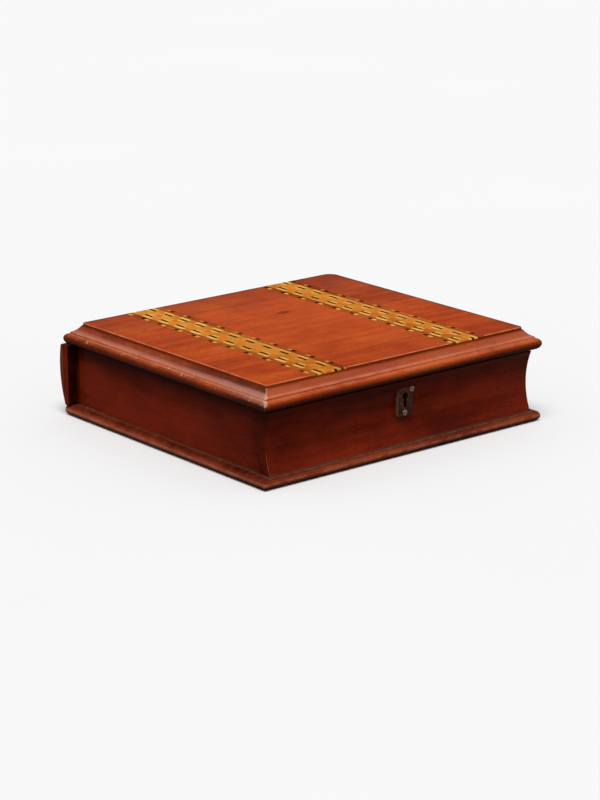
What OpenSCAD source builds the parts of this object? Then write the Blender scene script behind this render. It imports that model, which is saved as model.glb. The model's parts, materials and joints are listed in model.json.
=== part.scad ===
// Antique glove box in the form of a closed book.
// Frame: origin under the middle of the base board, +Z up, keyhole towards -Y,
// spine and hinges towards +Y. Millimetres.

/* [Covers] */
// Length of the lid and of the base board, left to right
case_w = 280; // [260:1:360]
// Depth of the lid and of the base board, front to back
case_d = 257; // [240:1:320]
// Thickness of the base board
base_t = 8.5; // [6:0.5:12]
// Thickness of the lid, from its underside to the flat top
lid_t = 18.6; // [18.6:0.1:24]
// Gap between the closed lid and the walls
lid_gap = 0.3; // [0.2:0.1:0.5]

/* [Lid moulding] */
// Reach of the moulding beyond the edge of the flat top
mould_out = 12.1; // [11.7:0.1:13.5]
// Rounding of the top edge of the lid panel
arris_r = 1.2; // [0.8:0.1:1.3]
// Reach of the panel edge beyond the flat top
fillet_out = 1.4; // [1.3:0.1:1.8]
// Drop from the flat top to the start of the cove
cove_top = 2.4; // [2:0.1:3]
// Drop from the flat top to the lip of the cove
cove_bottom = 7.9; // [7:0.1:8.4]
// Radius of the cove
cove_r = 12; // [9:0.5:16]
// Radius of the upper side of the bead
bead_r = 4; // [3.5:0.1:4.3]
// Radius of the lower side of the bead
under_r = 5.5; // [5:0.1:5.8]

/* [Walls] */
// Height of the walls between the base board and the lid
wall_h = 49.6; // [46:0.2:80]
// Distance of the end walls inside the ends of the base board
end_setback = 8; // [6:0.5:12]
// Thickness of the end walls
end_wall_t = 9; // [7:0.5:12]
// Distance of the front wall's top edge inside the front of the base board
front_setback = 3.7; // [3:0.1:6]
// Depth of the hollow in the front wall
hollow = 5.5; // [4:0.1:6.5]
// Thickness of the front wall at its thinnest
front_wall_t = 11; // [11:0.5:14]
// Thickness of the front wall beyond the rebates for the end walls
front_lap_t = 7.1; // [5:0.1:9]
// Thickness of the back wall
back_wall_t = 11; // [9:0.5:14]

/* [Spine] */
// Distance of the spine's flat inner face inside the back of the base board
spine_inset = 5.5; // [5:0.1:6.5]
// Thickness of the spine at its foot
spine_foot_t = 5.2; // [4:0.1:5.4]
// Thickness of the spine at its head
spine_head_t = 9.5; // [9.2:0.1:9.8]
// Bulge of the spine's outer face beyond the line from foot to head
spine_bulge = 3.7; // [2:0.1:5]

/* [Inlay] */
// Width of each inlaid band
band_w = 36; // [34:0.5:40]
// Distance of each band's middle inside the ends of the lid
band_inset = 70.6; // [40:0.2:90]
// Thickness of the inlay
inlay_t = 1.5; // [1:0.1:2]
// Length of one repeat of the pattern along the band
repeat_len = 21.2; // [18:0.1:26]
// Distance between neighbouring blocks of a border
block_pitch = 22.2; // [18:0.1:26]
// Distance of the dark border blocks from the middle of the band
block_x = 15.5; // [15:0.1:15.8]
// Width of a dark border block
block_w = 2.8; // [2:0.1:3]
// Length of a dark border block
block_len = 4.6; // [3:0.1:8]
// Distance of the dark strings from the middle of the band
string_x = 12.2; // [11.5:0.1:12.8]
// Width of a dark string
string_w = 0.7; // [0.5:0.1:1]
// Distance of the dark dashes from the middle of the band
dash_x = 6.4; // [6:0.1:8]
// Width of a dark dash
dash_w = 2.3; // [1.5:0.1:3]
// Length of a dark dash
dash_len = 10; // [6:0.5:14]
// Side of the red square between the dashes
square_w = 4.4; // [3:0.1:5]
// Distance from a left dash to the next red square
square_lag = 5.7; // [0:0.1:11]
// Glue line between inlaid pieces
glue_line = 0.05; // [0.03:0.01:0.08]
// Distance from a left dash to the next right dash
dash_stagger = 9; // [8:0.1:12]
// Distance of the first left dash from the back edge, left band
dash_start_l = 16; // [10:0.1:18]
// Distance of the first left dash from the back edge, right band
dash_start_r = 14.7; // [10:0.1:18]
// Distance of the first left border block from the back edge, left band
block_start_ll = 21.1; // [0:0.1:22]
// Distance of the first right border block from the back edge, left band
block_start_lr = 18; // [0:0.1:22]
// Distance of the first left border block from the back edge, right band
block_start_rl = 4.1; // [0:0.1:22]
// Distance of the first right border block from the back edge, right band
block_start_rr = 1.3; // [0:0.1:22]

/* [Hinges] */
// Length of a hinge
hinge_len = 38; // [30:1:60]
// Distance of each hinge's middle inside the ends of the lid
hinge_inset = 64; // [45:1:90]
// Width of a leaf, from the pin's axis to its edge
leaf_w = 12; // [11:0.5:14]
// Thickness of a leaf
leaf_t = 1.4; // [1.2:0.1:1.6]
// Radius of the knuckles
barrel_r = 2.2; // [2:0.1:2.4]
// Radius of the hinge pin
pin_r = 1; // [0.8:0.1:1.2]
// Gap between knuckles along the pin
knuckle_gap = 0.15; // [0.1:0.05:0.3]
// Distance of the hinge screws from the pin's axis
hinge_screw_y = 7.8; // [7.5:0.1:8.2]
// Distance between neighbouring screws of a leaf
hinge_screw_pitch = 13; // [10:0.5:14]

/* [Lock] */
// Distance of the keyhole from the middle of the front, towards the right
lock_x = 1.5; // [-40:0.5:40]
// Depth of the keyhole's head below the top of the front wall
key_drop = 12.7; // [12.7:0.1:16]
// Radius of the keyhole's head
key_r = 2.7; // [1.8:0.1:2.8]
// Width of the keyhole's tail
key_slot_w = 3; // [1.8:0.1:3.4]
// Distance from the keyhole's head to the end of its tail
key_reach = 8.9; // [7:0.1:9]
// Length of the lock case along the wall, inside
case_len = 44; // [44:0.5:50]
// Depth of the lock case, inside
case_depth = 5.6; // [5.6:0.1:6]
// Thickness of the lock's plates
plate_t = 1.2; // [1:0.1:1.4]
// Thickness of the top plates of the lock and of the link
edge_plate_t = 1.5; // [1.2:0.1:1.8]
// Reach of the lock's flanges beyond its case
flange = 5.8; // [5:0.1:7]
// Distance between the two link loops
loop_pitch = 22; // [22:0.5:24]
// Thickness of a link loop
loop_t = 2.4; // [2:0.1:2.4]
// Width of a link loop, front to back
loop_w = 5; // [4.8:0.1:5]
// Length of a link loop below the lid
loop_len = 7.4; // [7.2:0.1:7.5]
// Throw of the bolt
throw = 5; // [4:0.1:5]
// Thickness of the bolt
bolt_t = 2.2; // [1.8:0.1:2.4]
// Height of the bolt's bar under the loops
bar_h = 3.2; // [2.8:0.1:3.2]
// Height of the bolt's fingers
finger_h = 3; // [2.4:0.1:3]
// Radius of the drill pin
drill_pin_r = 1.1; // [0.9:0.1:1.2]
// Thickness of the bolt's spring
spring_t = 0.5; // [0.4:0.05:0.6]
// Length of the bolt's spring
spring_len = 8; // [6:0.5:10]
// Distance of the lock screws from the top and bottom of the lock case
lock_screw_inset = 4; // [3.5:0.1:6]

/* [Escutcheon] */
// Width of the escutcheon
esc_w = 15.7; // [14:0.1:22]
// Height of the escutcheon
esc_h = 22.3; // [20:0.1:26]
// Height of the escutcheon's top edge above the keyhole's head
esc_rise = 6.4; // [5:0.1:7]
// Distance of the escutcheon's face before the deepest part of the hollow
esc_proud = 3.3; // [3.2:0.1:4.5]
// Rounding of the escutcheon's lower corners
esc_r = 2; // [1:0.1:3]

/* [Screws] */
// Radius of a countersunk screw's head
screw_head_r = 2.2; // [1.8:0.1:2.2]
// Radius of a screw's shank
screw_r = 1.1; // [0.9:0.1:1.2]
// Length of a hinge or link screw
screw_len = 9; // [7:0.5:12]
// Length of a lock screw
lock_screw_len = 6.5; // [5:0.5:7]
// Radius of an escutcheon screw's round head
round_head_r = 2.4; // [2:0.1:2.6]
// Height of an escutcheon screw's round head
round_head_h = 1.2; // [0.8:0.1:1.6]
// Width of a screw slot
slot_w = 0.6; // [0.4:0.1:0.8]
// Depth of a screw slot
slot_d = 0.5; // [0.3:0.1:0.6]

/* [Lining] */
// Thickness of the linings
lining_t = 1.2; // [0.8:0.1:2]
// Margin between the linings and the walls
lining_gap = 0.5; // [0.4:0.1:2]
// Margin between the lid lining and the inside of the box
lid_lining_gap = 6; // [4:0.5:12]

/* [Hidden] */
$fn = 96;

eps = 0.01;            // overlap that keeps a cut clean
over = 1;              // reach of a cut past the surface it opens
fit = 0.05;            // clearance of a seated metal part
mortise_fit = 0.1;     // clearance of a plate in its mortise
run_fit = 0.1;         // clearance under the sliding bolt
run_clear = 0.5;       // clearance of the fingers beside the loops
eye_clear = 0.4;       // clearance of the fingers and bar above and below
loop_side = 0.3;       // clearance of a loop in its slot, front and back
barrel_clear = 0.4;    // clearance round the knuckles

// Heights
wall_z = base_t;
wall_top = base_t + wall_h;
lid_z = wall_top + lid_gap;
lid_top = lid_z + lid_t;
wall_mid = wall_z + wall_h / 2;

// Plan
half_w = case_w / 2;
half_d = case_d / 2;
top_w = half_w - mould_out;
top_d = half_d - mould_out;
band_x = half_w - band_inset;
panel_w = top_w + fillet_out;
panel_d = top_d + fillet_out;
end_out = half_w - end_setback;
end_in = end_out - end_wall_t;
front_mid = -half_d + front_setback + hollow;
front_in = front_mid + front_wall_t;
lap_y = front_mid + front_lap_t;
back_out = half_d - spine_inset;
back_in = back_out - back_wall_t;
hollow_r = (wall_h * wall_h / 4 + hollow * hollow) / (2 * hollow);

// Hinges
hinge_x = half_w - hinge_inset;
axis_y = half_d;
axis_z = wall_top + lid_gap / 2;
knuckles = 5;
knuckle_len = hinge_len / knuckles;
notch_r = barrel_r + barrel_clear;

// Lock, from the inner face of the front wall outwards
key_z = wall_top - key_drop;
cap_out = front_in - plate_t;
case_in = cap_out - case_depth;
case_out = case_in - plate_t;
slide_y = (cap_out + case_in) / 2;
edge_y = case_out - 0.7;
case_half = case_len / 2;
case_floor = key_z - key_reach - 1.3;
edge_z = wall_top - edge_plate_t;
loop_bottom = lid_z - loop_len;
eye_w = loop_w - 2.2;
eye_bottom = loop_bottom + 1.4;
finger_z = eye_bottom + eye_clear;
eye_top = finger_z + finger_h + eye_clear;
bar_top = loop_bottom - eye_clear;
bar_z = bar_top - bar_h;
first_loop = -loop_pitch / 2;
finger_tip = first_loop - loop_t / 2 - run_clear;
finger_root = finger_tip - throw;
window_end = first_loop + loop_t / 2 + run_clear;
post_w = 2.8;
talon_w = 6;
rail_h = 1.8;
rail_in = 10;
loops = [first_loop, first_loop + loop_pitch];

// Escutcheon
esc_top = key_z + esc_rise;
esc_bottom = esc_top - esc_h;
esc_face = front_mid - esc_proud;
esc_screws = [[esc_w / 2 - 1.5, esc_top - 1.9], [-0.5, esc_bottom + 2.6]];
esc_screw_angles = [70, 40];

// Colours
mahogany = "#9c3f1c";
mahogany_dark = "#6f2413";
boxwood = "#d99a45";
ebony = "#2c1508";
padouk = "#b5502a";
brass = "#a08046";
old_brass = "#4d2b1c";
steel = "#77716a";
cloth = "#5d1f24";

// ---------------------------------------------------------------- helpers

// Carries an outline drawn in (y, z) along X, from x0 to x1.
module along_x(x0, x1)
    translate([x0, 0, 0]) rotate([90, 0, 90]) linear_extrude(x1 - x0) children();

// Carries an outline drawn in (x, z) along Y, from y0 to y1.
module along_y(y0, y1)
    translate([0, y1, 0]) rotate([90, 0, 0]) linear_extrude(y1 - y0) children();

// Box between two corners.
module box(low, high) translate(low) cube(high - low);

// Rectangle between two corners.
module rect(low, high) translate(low) square(high - low);

// Rectangle with its two upper corners rounded.
module rounded_top(half, low, high, r) {
    rect([-half, low], [half, high - r]);
    rect([-half + r, low], [half - r, high]);
    for (side = [-1, 1]) translate([side * (half - r), high - r]) circle(r);
}

// Rounded nose of a board: its outer edge lies on x = 0, its back on x = -t / 2.
module nose(t) translate([-t / 2, t / 2]) circle(t / 2);

// Countersunk wood screw with its head at the origin, driven towards -Z.
module wood_screw(length) {
    difference() {
        union() {
            translate([0, 0, -screw_head_r + screw_r])
                cylinder(h = screw_head_r - screw_r, r1 = screw_r, r2 = screw_head_r);
            translate([0, 0, -length]) cylinder(h = length - eps, r = screw_r);
        }
        translate([-screw_head_r, -slot_w / 2, -slot_d])
            cube([2 * screw_head_r, slot_w, slot_d + over]);
    }
}

// Hole for a countersunk screw, with clearance all round.
module screw_hole(length) {
    sink = screw_head_r - screw_r;
    translate([0, 0, -sink - fit])
        cylinder(h = sink + fit + eps, r1 = screw_r + fit, r2 = screw_head_r + 2 * fit);
    translate([0, 0, -length - fit]) cylinder(h = length + over, r = screw_r + fit);
}

// Round-headed screw driven towards +Y, its head's seat on y = 0.
module round_screw(length, angle) {
    ball_r = (round_head_r * round_head_r + round_head_h * round_head_h) / (2 * round_head_h);
    difference() {
        union() {
            intersection() {
                translate([0, ball_r - round_head_h, 0]) sphere(ball_r, $fn = 48);
                rotate([90, 0, 0]) cylinder(h = round_head_h + over, r = round_head_r);
            }
            rotate([-90, 0, 0]) cylinder(h = length, r = screw_r);
        }
        rotate([0, angle, 0])
            box([-round_head_r, -round_head_h - over, -slot_w / 2],
                [round_head_r, slot_d - round_head_h, slot_w / 2]);
    }
}

// Keyhole cut along Y, from y0 to y1, round the drill pin.
module keyhole(y0, y1)
    translate([lock_x, 0, key_z]) along_y(y0, y1) {
        circle(key_r);
        rect([-key_slot_w / 2, -key_reach], [key_slot_w / 2, 0]);
    }

// ------------------------------------------------------------- base board

// Section of the base board across its depth: nosed at the front, square above
// the back edge where the spine stands on it.
module base_section_yz() {
    r = base_t / 2;
    rect([-half_d + r, 0], [half_d - r, base_t]);
    rect([half_d - 2 * r, r], [half_d, base_t]);
    translate([-half_d + r, r]) circle(r);
    translate([half_d - r, r]) circle(r);
}

module base_section_xz() {
    r = base_t / 2;
    rect([-half_w + r, 0], [half_w - r, base_t]);
    for (side = [-1, 1]) translate([side * (half_w - r), r]) circle(r);
}

module base_board() color(mahogany)
    intersection() {
        along_x(-half_w - over, half_w + over) base_section_yz();
        along_y(-half_d - over, half_d + over) base_section_xz();
    }

// ------------------------------------------------------------------ walls

// Space that the lock takes out of the front wall.
module lock_pocket() translate([lock_x, 0, 0]) {
    m = mortise_fit;
    reach = case_half + plate_t + flange;
    box([-case_half - plate_t - m, case_out - m, case_floor - plate_t - m],
        [case_half + plate_t + m, front_in + over, wall_top + over]);
    box([-reach - m, cap_out - m, case_floor - plate_t - m],
        [reach + m, front_in + over, wall_top + over]);
    box([-reach - m, edge_y - m, edge_z - m], [reach + m, front_in + over, wall_top + over]);
}

// The four screws of the lock, heads on the inner face of the cap.
module at_lock_screws()
    for (x = [-1, 1], z = [case_floor + lock_screw_inset, edge_z - lock_screw_inset])
        translate([lock_x + x * (case_half + plate_t + flange / 2), front_in, z])
            rotate([-90, 0, 0]) children();

module front_wall() color(mahogany_dark)
    difference() {
        along_x(-end_out, end_out) difference() {
            rect([front_mid - hollow, wall_z], [front_in, wall_top]);
            translate([front_mid - hollow_r, wall_mid]) circle(hollow_r, $fn = 180);
        }
        for (side = [-1, 1])
            translate([side * (end_in + end_out) / 2, 0, 0])
                box([-end_wall_t / 2 - (side > 0 ? 0 : over), lap_y, wall_z - over],
                    [end_wall_t / 2 + (side > 0 ? over : 0), front_in + over, wall_top + over]);
        lock_pocket();
        keyhole(front_mid - over, case_out);
        at_lock_screws() screw_hole(lock_screw_len);
        at_escutcheon_screws() rotate([-90, 0, 0]) cylinder(h = esc_hole, r = screw_r + fit);
    }

module end_wall(side) color(mahogany_dark)
    box([side > 0 ? end_in : -end_out, lap_y, wall_z],
        [side > 0 ? end_out : -end_in, back_out, wall_top]);

module end_wall_left() end_wall(-1);
module end_wall_right() end_wall(1);

// Mortises of the body leaves and the notches round their knuckles.
module body_hinge_cuts() {
    m = mortise_fit;
    for (side = [-1, 1]) translate([side * hinge_x, 0, 0]) {
        box([-hinge_len / 2 - m, axis_y - leaf_w - m, wall_top - leaf_t],
            [hinge_len / 2 + m, axis_y, wall_top + over]);
        translate([-hinge_len / 2 - m, axis_y, axis_z]) rotate([0, 90, 0])
            cylinder(h = hinge_len + 2 * m, r = notch_r);
        box([-hinge_len / 2 - m, axis_y, axis_z - notch_r],
            [hinge_len / 2 + m, half_d + spine_head_t, wall_top + over]);
    }
    at_body_screws() screw_hole(screw_len);
}

module at_body_screws()
    for (side = [-1, 1], k = [-1:1])
        translate([side * hinge_x + k * hinge_screw_pitch, axis_y - hinge_screw_y, wall_top])
            children();

module back_wall() color(mahogany_dark)
    difference() {
        box([-end_in, back_in, wall_z], [end_in, back_out, wall_top]);
        body_hinge_cuts();
    }

// ------------------------------------------------------------------ spine

spine_foot = [back_out + spine_foot_t, wall_z];
spine_head = [back_out + spine_head_t, wall_top];
spine_chord = spine_head - spine_foot;
spine_len = norm(spine_chord);
spine_r = (spine_len * spine_len / 4 + spine_bulge * spine_bulge) / (2 * spine_bulge);
spine_out = [spine_chord[1], -spine_chord[0]] / spine_len;
spine_c = (spine_foot + spine_head) / 2 + (spine_bulge - spine_r) * spine_out;

module spine_board() color(mahogany_dark)
    difference() {
        along_x(-half_w, half_w) intersection() {
            rect([back_out, wall_z], [back_out + 2 * spine_head_t, wall_top]);
            translate(spine_c) circle(spine_r, $fn = 180);
        }
        body_hinge_cuts();
    }

// ----------------------------------------------------------------- lining

module floor_lining() color(cloth)
    box([-end_in + lining_gap, front_in + lining_gap, wall_z],
        [end_in - lining_gap, back_in - lining_gap, wall_z + lining_t]);

module lid_lining() color(cloth)
    box([-end_in + lid_lining_gap, front_in + lid_lining_gap, lid_z - lining_t],
        [end_in - lid_lining_gap, back_in - lid_lining_gap, lid_z]);

// ----------------------------------------------------------------- hinges

// One leaf: a plate, its knuckles and three countersunk holes. The plate's
// outer face is at height face_z and its metal lies on the given side of it.
module hinge_leaf(side, face_z, up, mine) {
    low = up > 0 ? face_z : face_z - leaf_t;
    translate([side * hinge_x, 0, 0]) difference() {
        union() {
            box([-hinge_len / 2, axis_y - leaf_w, low],
                [hinge_len / 2, axis_y - notch_r, low + leaf_t]);
            for (k = mine) {
                x0 = -hinge_len / 2 + k * knuckle_len + (k > 0 ? knuckle_gap / 2 : 0);
                x1 = -hinge_len / 2 + (k + 1) * knuckle_len
                    - (k < knuckles - 1 ? knuckle_gap / 2 : 0);
                box([x0, axis_y - leaf_w / 2, low], [x1, axis_y, low + leaf_t]);
                translate([x0, axis_y, axis_z]) rotate([0, 90, 0])
                    cylinder(h = x1 - x0, r = barrel_r);
            }
        }
        translate([-hinge_len / 2 - over, axis_y, axis_z]) rotate([0, 90, 0])
            cylinder(h = hinge_len + 2 * over, r = pin_r + fit);
        for (k = [-1:1])
            translate([k * hinge_screw_pitch, axis_y - hinge_screw_y, face_z])
                rotate([up > 0 ? 180 : 0, 0, 0]) screw_hole(screw_len);
    }
}

module hinge_body_leaf(side) color(brass) hinge_leaf(side, wall_top, -1, [0, 2, 4]);
module hinge_lid_leaf(side) color(brass) hinge_leaf(side, lid_z, 1, [1, 3]);

module hinge_body_leaf_left() hinge_body_leaf(-1);
module hinge_body_leaf_right() hinge_body_leaf(1);
module hinge_lid_leaf_left() hinge_lid_leaf(-1);
module hinge_lid_leaf_right() hinge_lid_leaf(1);

module hinge_pin(side) color(brass)
    translate([side * hinge_x - hinge_len / 2, axis_y, axis_z]) rotate([0, 90, 0])
        cylinder(h = hinge_len, r = pin_r);

module hinge_pin_left() hinge_pin(-1);
module hinge_pin_right() hinge_pin(1);

module hinge_body_screws() color(brass) at_body_screws() wood_screw(screw_len);

module at_lid_screws()
    for (side = [-1, 1], k = [-1:1])
        translate([side * hinge_x + k * hinge_screw_pitch, axis_y - hinge_screw_y, lid_z])
            rotate([180, 0, 0]) children();

module hinge_lid_screws() color(brass) at_lid_screws() wood_screw(screw_len);

// ------------------------------------------------------------------- lock

module lock_case() color(brass) difference() {
    translate([lock_x, 0, 0]) {
        reach = case_half + plate_t + flange;
        difference() {
            box([-case_half - plate_t, case_out, case_floor - plate_t],
                [case_half + plate_t, cap_out, edge_z + edge_plate_t / 2]);
            box([-case_half, case_in, case_floor], [case_half, front_in, edge_z]);
        }
        // rails under the bolt
        for (side = [-1, 1])
            translate([side * (rail_in + case_half) / 2, 0, 0])
                box([-(case_half - rail_in) / 2 - eps, case_in - eps, bar_z - run_fit - rail_h],
                    [(case_half - rail_in) / 2 + eps, cap_out, bar_z - run_fit]);
        box([-reach, edge_y, edge_z], [reach, front_in, wall_top]);
    }
    // slots that let the loops in
    for (x = loops) translate([lock_x + x, slide_y, 0])
        box([-loop_t / 2 - run_clear, -loop_w / 2 - loop_side, edge_z - over],
            [loop_t / 2 + run_clear, loop_w / 2 + loop_side, wall_top + over]);
    keyhole(case_out - over, case_in + over);
}

module lock_cap() color(brass) difference() {
    reach = case_half + plate_t + flange;
    translate([lock_x, 0, 0])
        box([-reach, cap_out, case_floor - plate_t], [reach, front_in, edge_z]);
    translate([lock_x, cap_out - over, key_z]) rotate([-90, 0, 0])
        cylinder(h = plate_t + 2 * over, r = drill_pin_r + fit);
    at_lock_screws() screw_hole(lock_screw_len);
}

module lock_drill_pin() color(steel)
    translate([lock_x, front_mid + 1, key_z]) rotate([-90, 0, 0])
        cylinder(h = front_in - front_mid - 1, r = drill_pin_r);

// Bow spring between the case and the bolt's bar.
module lock_spring() color(steel) {
    rise = slide_y - bolt_t / 2 - case_in - spring_t - 2 * run_fit;
    bow_r = (spring_len * spring_len / 4 + rise * rise) / (2 * rise);
    translate([lock_x + case_half - spring_len, case_in, bar_z + run_fit])
        linear_extrude(bar_h - 1)
        intersection() {
            translate([0, rise - bow_r]) difference() {
                circle(bow_r + spring_t);
                circle(bow_r);
            }
            rect([-spring_len / 2, 0], [spring_len / 2, 2 * rise]);
        }
}

module lock_screws() color(steel) at_lock_screws() wood_screw(lock_screw_len);

// Bolt, drawn back: two fingers stand beside the loops that they catch.
module lock_bolt() color(brass)
    translate([lock_x, 0, 0]) along_y(slide_y - bolt_t / 2, slide_y + bolt_t / 2)
        difference() {
            rect([finger_root - post_w, bar_z], [-finger_root - 2, finger_z + finger_h]);
            for (x = [0, loop_pitch]) translate([x, 0]) difference() {
                rect([finger_root, bar_top], [window_end, finger_z + finger_h + over]);
                rect([finger_root - over, finger_z], [finger_tip, finger_z + finger_h]);
            }
            rect([loop_pitch + window_end, bar_top],
                [-finger_root, finger_z + finger_h + over]);
            rect([-talon_w / 2, bar_z - over], [talon_w / 2, key_z + key_reach + 0.2]);
        }

// Link plate in the underside of the lid, with its two loops.
module link_plate() color(brass) difference() {
    reach = case_half + plate_t + flange;
    translate([lock_x, 0, 0]) {
        box([-reach, edge_y, lid_z], [reach, front_in, lid_z + edge_plate_t]);
        for (x = loops) translate([x, 0, 0])
            difference() {
                box([-loop_t / 2, slide_y - loop_w / 2, loop_bottom],
                    [loop_t / 2, slide_y + loop_w / 2, lid_z + eps]);
                box([-loop_t, slide_y - eye_w / 2, eye_bottom],
                    [loop_t, slide_y + eye_w / 2, eye_top]);
            }
    }
    at_link_screws() screw_hole(screw_len);
}

module at_link_screws()
    for (x = [-1:1])
        translate([lock_x + x * (case_half + 1), slide_y, lid_z])
            rotate([180, 0, 0]) children();

module link_screws() color(brass) at_link_screws() wood_screw(screw_len);

// ------------------------------------------------------------- escutcheon

// The screws stop short of the lock behind them.
esc_screw_len = case_out - esc_face - 0.5;
esc_hole = esc_screw_len + fit;

module at_escutcheon_screws()
    for (p = esc_screws) translate([lock_x + p[0], esc_face, p[1]]) children();

// Plate whose back is shaped to the hollow of the wall.
module escutcheon() color(old_brass) difference() {
    intersection() {
        translate([lock_x, 0, 0]) along_y(esc_face, front_mid + over) {
            rect([-esc_w / 2, esc_bottom + esc_r], [esc_w / 2, esc_top]);
            rect([-esc_w / 2 + esc_r, esc_bottom], [esc_w / 2 - esc_r, esc_top]);
            for (side = [-1, 1])
                translate([side * (esc_w / 2 - esc_r), esc_bottom + esc_r]) circle(esc_r);
        }
        translate([0, front_mid - hollow_r, wall_mid]) rotate([0, 90, 0])
            translate([0, 0, -half_w]) cylinder(h = case_w, r = hollow_r - fit, $fn = 180);
    }
    keyhole(esc_face - over, front_mid + over);
    at_escutcheon_screws() rotate([-90, 0, 0])
        translate([0, 0, -over]) cylinder(h = esc_hole, r = screw_r + fit);
}

module escutcheon_screws() color(old_brass)
    for (i = [0:len(esc_screws) - 1])
        translate([lock_x + esc_screws[i][0], esc_face, esc_screws[i][1]])
            round_screw(esc_screw_len, esc_screw_angles[i]);

// -------------------------------------------------------------------- lid

// Cuts in the underside of the lid for the hinges and the link plate.
module lid_cuts() {
    m = mortise_fit;
    reach = case_half + plate_t + flange;
    for (side = [-1, 1]) translate([side * hinge_x, 0, 0]) {
        box([-hinge_len / 2 - m, axis_y - leaf_w - m, lid_z - over],
            [hinge_len / 2 + m, axis_y, lid_z + leaf_t]);
        translate([-hinge_len / 2 - m, axis_y, axis_z]) rotate([0, 90, 0])
            cylinder(h = hinge_len + 2 * m, r = notch_r);
    }
    box([lock_x - reach - m, edge_y - m, lid_z - over],
        [lock_x + reach + m, front_in + m, lid_z + edge_plate_t]);
    at_lid_screws() screw_hole(screw_len);
    at_link_screws() screw_hole(screw_len);
}

// Pocket of one inlaid band.
module band_pocket(side)
    box([side * band_x - band_w / 2, -panel_d - over, lid_top - inlay_t],
        [side * band_x + band_w / 2, panel_d + over, lid_top + over]);

// Panel with its top edges rounded.
module panel_form() intersection() {
    along_x(-panel_w - over, panel_w + over)
        rounded_top(panel_d, lid_z, lid_top, arris_r);
    along_y(-panel_d - over, panel_d + over)
        rounded_top(panel_w, lid_z, lid_top, arris_r);
}

module lid_board() color(mahogany) difference() {
    panel_form();
    for (side = [-1, 1]) band_pocket(side);
    lid_cuts();
}

// Section of the moulding: x runs outwards from the edge of the flat top,
// y is the height above the lid's underside.
module moulding_section() {
    start = [fillet_out, lid_t - cove_top];
    lip = [mould_out - bead_r, lid_t - cove_bottom];
    chord = lip - start;
    half = norm(chord) / 2;
    rise = sqrt(cove_r * cove_r - half * half);
    centre = (start + lip) / 2 + rise * [-chord[1], chord[0]] / norm(chord);
    bead_c = [mould_out - bead_r, under_r];
    under_c = [mould_out - under_r, under_r];
    difference() {
        rect([fillet_out, 0], [mould_out, start[1]]);
        polygon([start, lip, [lip[0], lid_t], [fillet_out, lid_t]]);
        translate(centre) circle(cove_r);
        rect([lip[0], under_r + bead_r], [mould_out + over, lid_t]);
        difference() {
            rect(bead_c, [mould_out + over, under_r + bead_r + over]);
            translate(bead_c) circle(bead_r);
        }
        difference() {
            rect([under_c[0], -over], [mould_out + over, under_r]);
            translate(under_c) circle(under_r);
        }
    }
}

// One mitred length of moulding. half_top is half the flat top's size across
// the moulding, half_run half of it along the moulding.
module moulding(half_top, half_run) intersection() {
    along_x(-half_run - 2 * mould_out, half_run + 2 * mould_out)
        translate([half_top, lid_z]) moulding_section();
    linear_extrude(2 * lid_top)
        polygon([[-half_run, half_top], [half_run, half_top],
            [half_run + 2 * mould_out, half_top + 2 * mould_out],
            [-half_run - 2 * mould_out, half_top + 2 * mould_out]]);
}

module lid_moulding_back() color(mahogany) difference() {
    moulding(top_d, top_w);
    lid_cuts();
}

module lid_moulding_front() color(mahogany) rotate([0, 0, 180]) moulding(top_d, top_w);
module lid_moulding_left() color(mahogany) rotate([0, 0, 90]) moulding(top_w, top_d);
module lid_moulding_right() color(mahogany) rotate([0, 0, -90]) moulding(top_w, top_d);

// ------------------------------------------------------------------ inlay

function dash_start(side) = side < 0 ? dash_start_l : dash_start_r;

// Middles of a row, one of which lies at the given distance from the back edge.
function row(start, len, pitch) = [for (y = [top_d - start + pitch : -pitch : -top_d - len]) y];

// The row's pieces, or with grow > 0 the pockets that hold them.
module row_pieces(x, w, len, start, grow, pitch = repeat_len)
    for (y = row(start, len, pitch))
        if (y - len / 2 < panel_d && y + len / 2 > -panel_d)
            box([x - w / 2 - grow, max(y - len / 2, -panel_d) - grow, lid_top - inlay_t - grow],
                [x + w / 2 + grow, min(y + len / 2, panel_d) + grow, lid_top + grow]);

module ebony_pieces(side, grow) {
    start = dash_start(side);
    first = side < 0 ? [block_start_ll, block_start_lr] : [block_start_rl, block_start_rr];
    for (hand = [0, 1]) {
        dir = 2 * hand - 1;
        x = side * band_x;
        row_pieces(x + dir * dash_x, dash_w, dash_len, start + hand * dash_stagger, grow);
        row_pieces(x + dir * block_x, block_w, block_len, first[hand], grow, block_pitch);
        box([x + dir * string_x - string_w / 2 - grow, -panel_d - grow,
            lid_top - inlay_t - grow],
            [x + dir * string_x + string_w / 2 + grow, panel_d + grow, lid_top + grow]);
    }
}

module square_pieces(side, grow)
    row_pieces(side * band_x, square_w, square_w, dash_start(side) + square_lag, grow);

module inlay_ground(side) color(boxwood) difference() {
    intersection() {
        panel_form();
        box([side * band_x - band_w / 2 + glue_line, -panel_d - over, lid_top - inlay_t],
            [side * band_x + band_w / 2 - glue_line, panel_d + over, lid_top + over]);
    }
    ebony_pieces(side, glue_line);
    square_pieces(side, glue_line);
}

module inlay_ebony(side) color(ebony) intersection() {
    panel_form();
    ebony_pieces(side, 0);
}

module inlay_squares(side) color(padouk) intersection() {
    panel_form();
    square_pieces(side, 0);
}

module inlay_ground_left() inlay_ground(-1);
module inlay_ground_right() inlay_ground(1);
module inlay_ebony_left() inlay_ebony(-1);
module inlay_ebony_right() inlay_ebony(1);
module inlay_squares_left() inlay_squares(-1);
module inlay_squares_right() inlay_squares(1);

// ------------------------------------------------------------------ nodes

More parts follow.
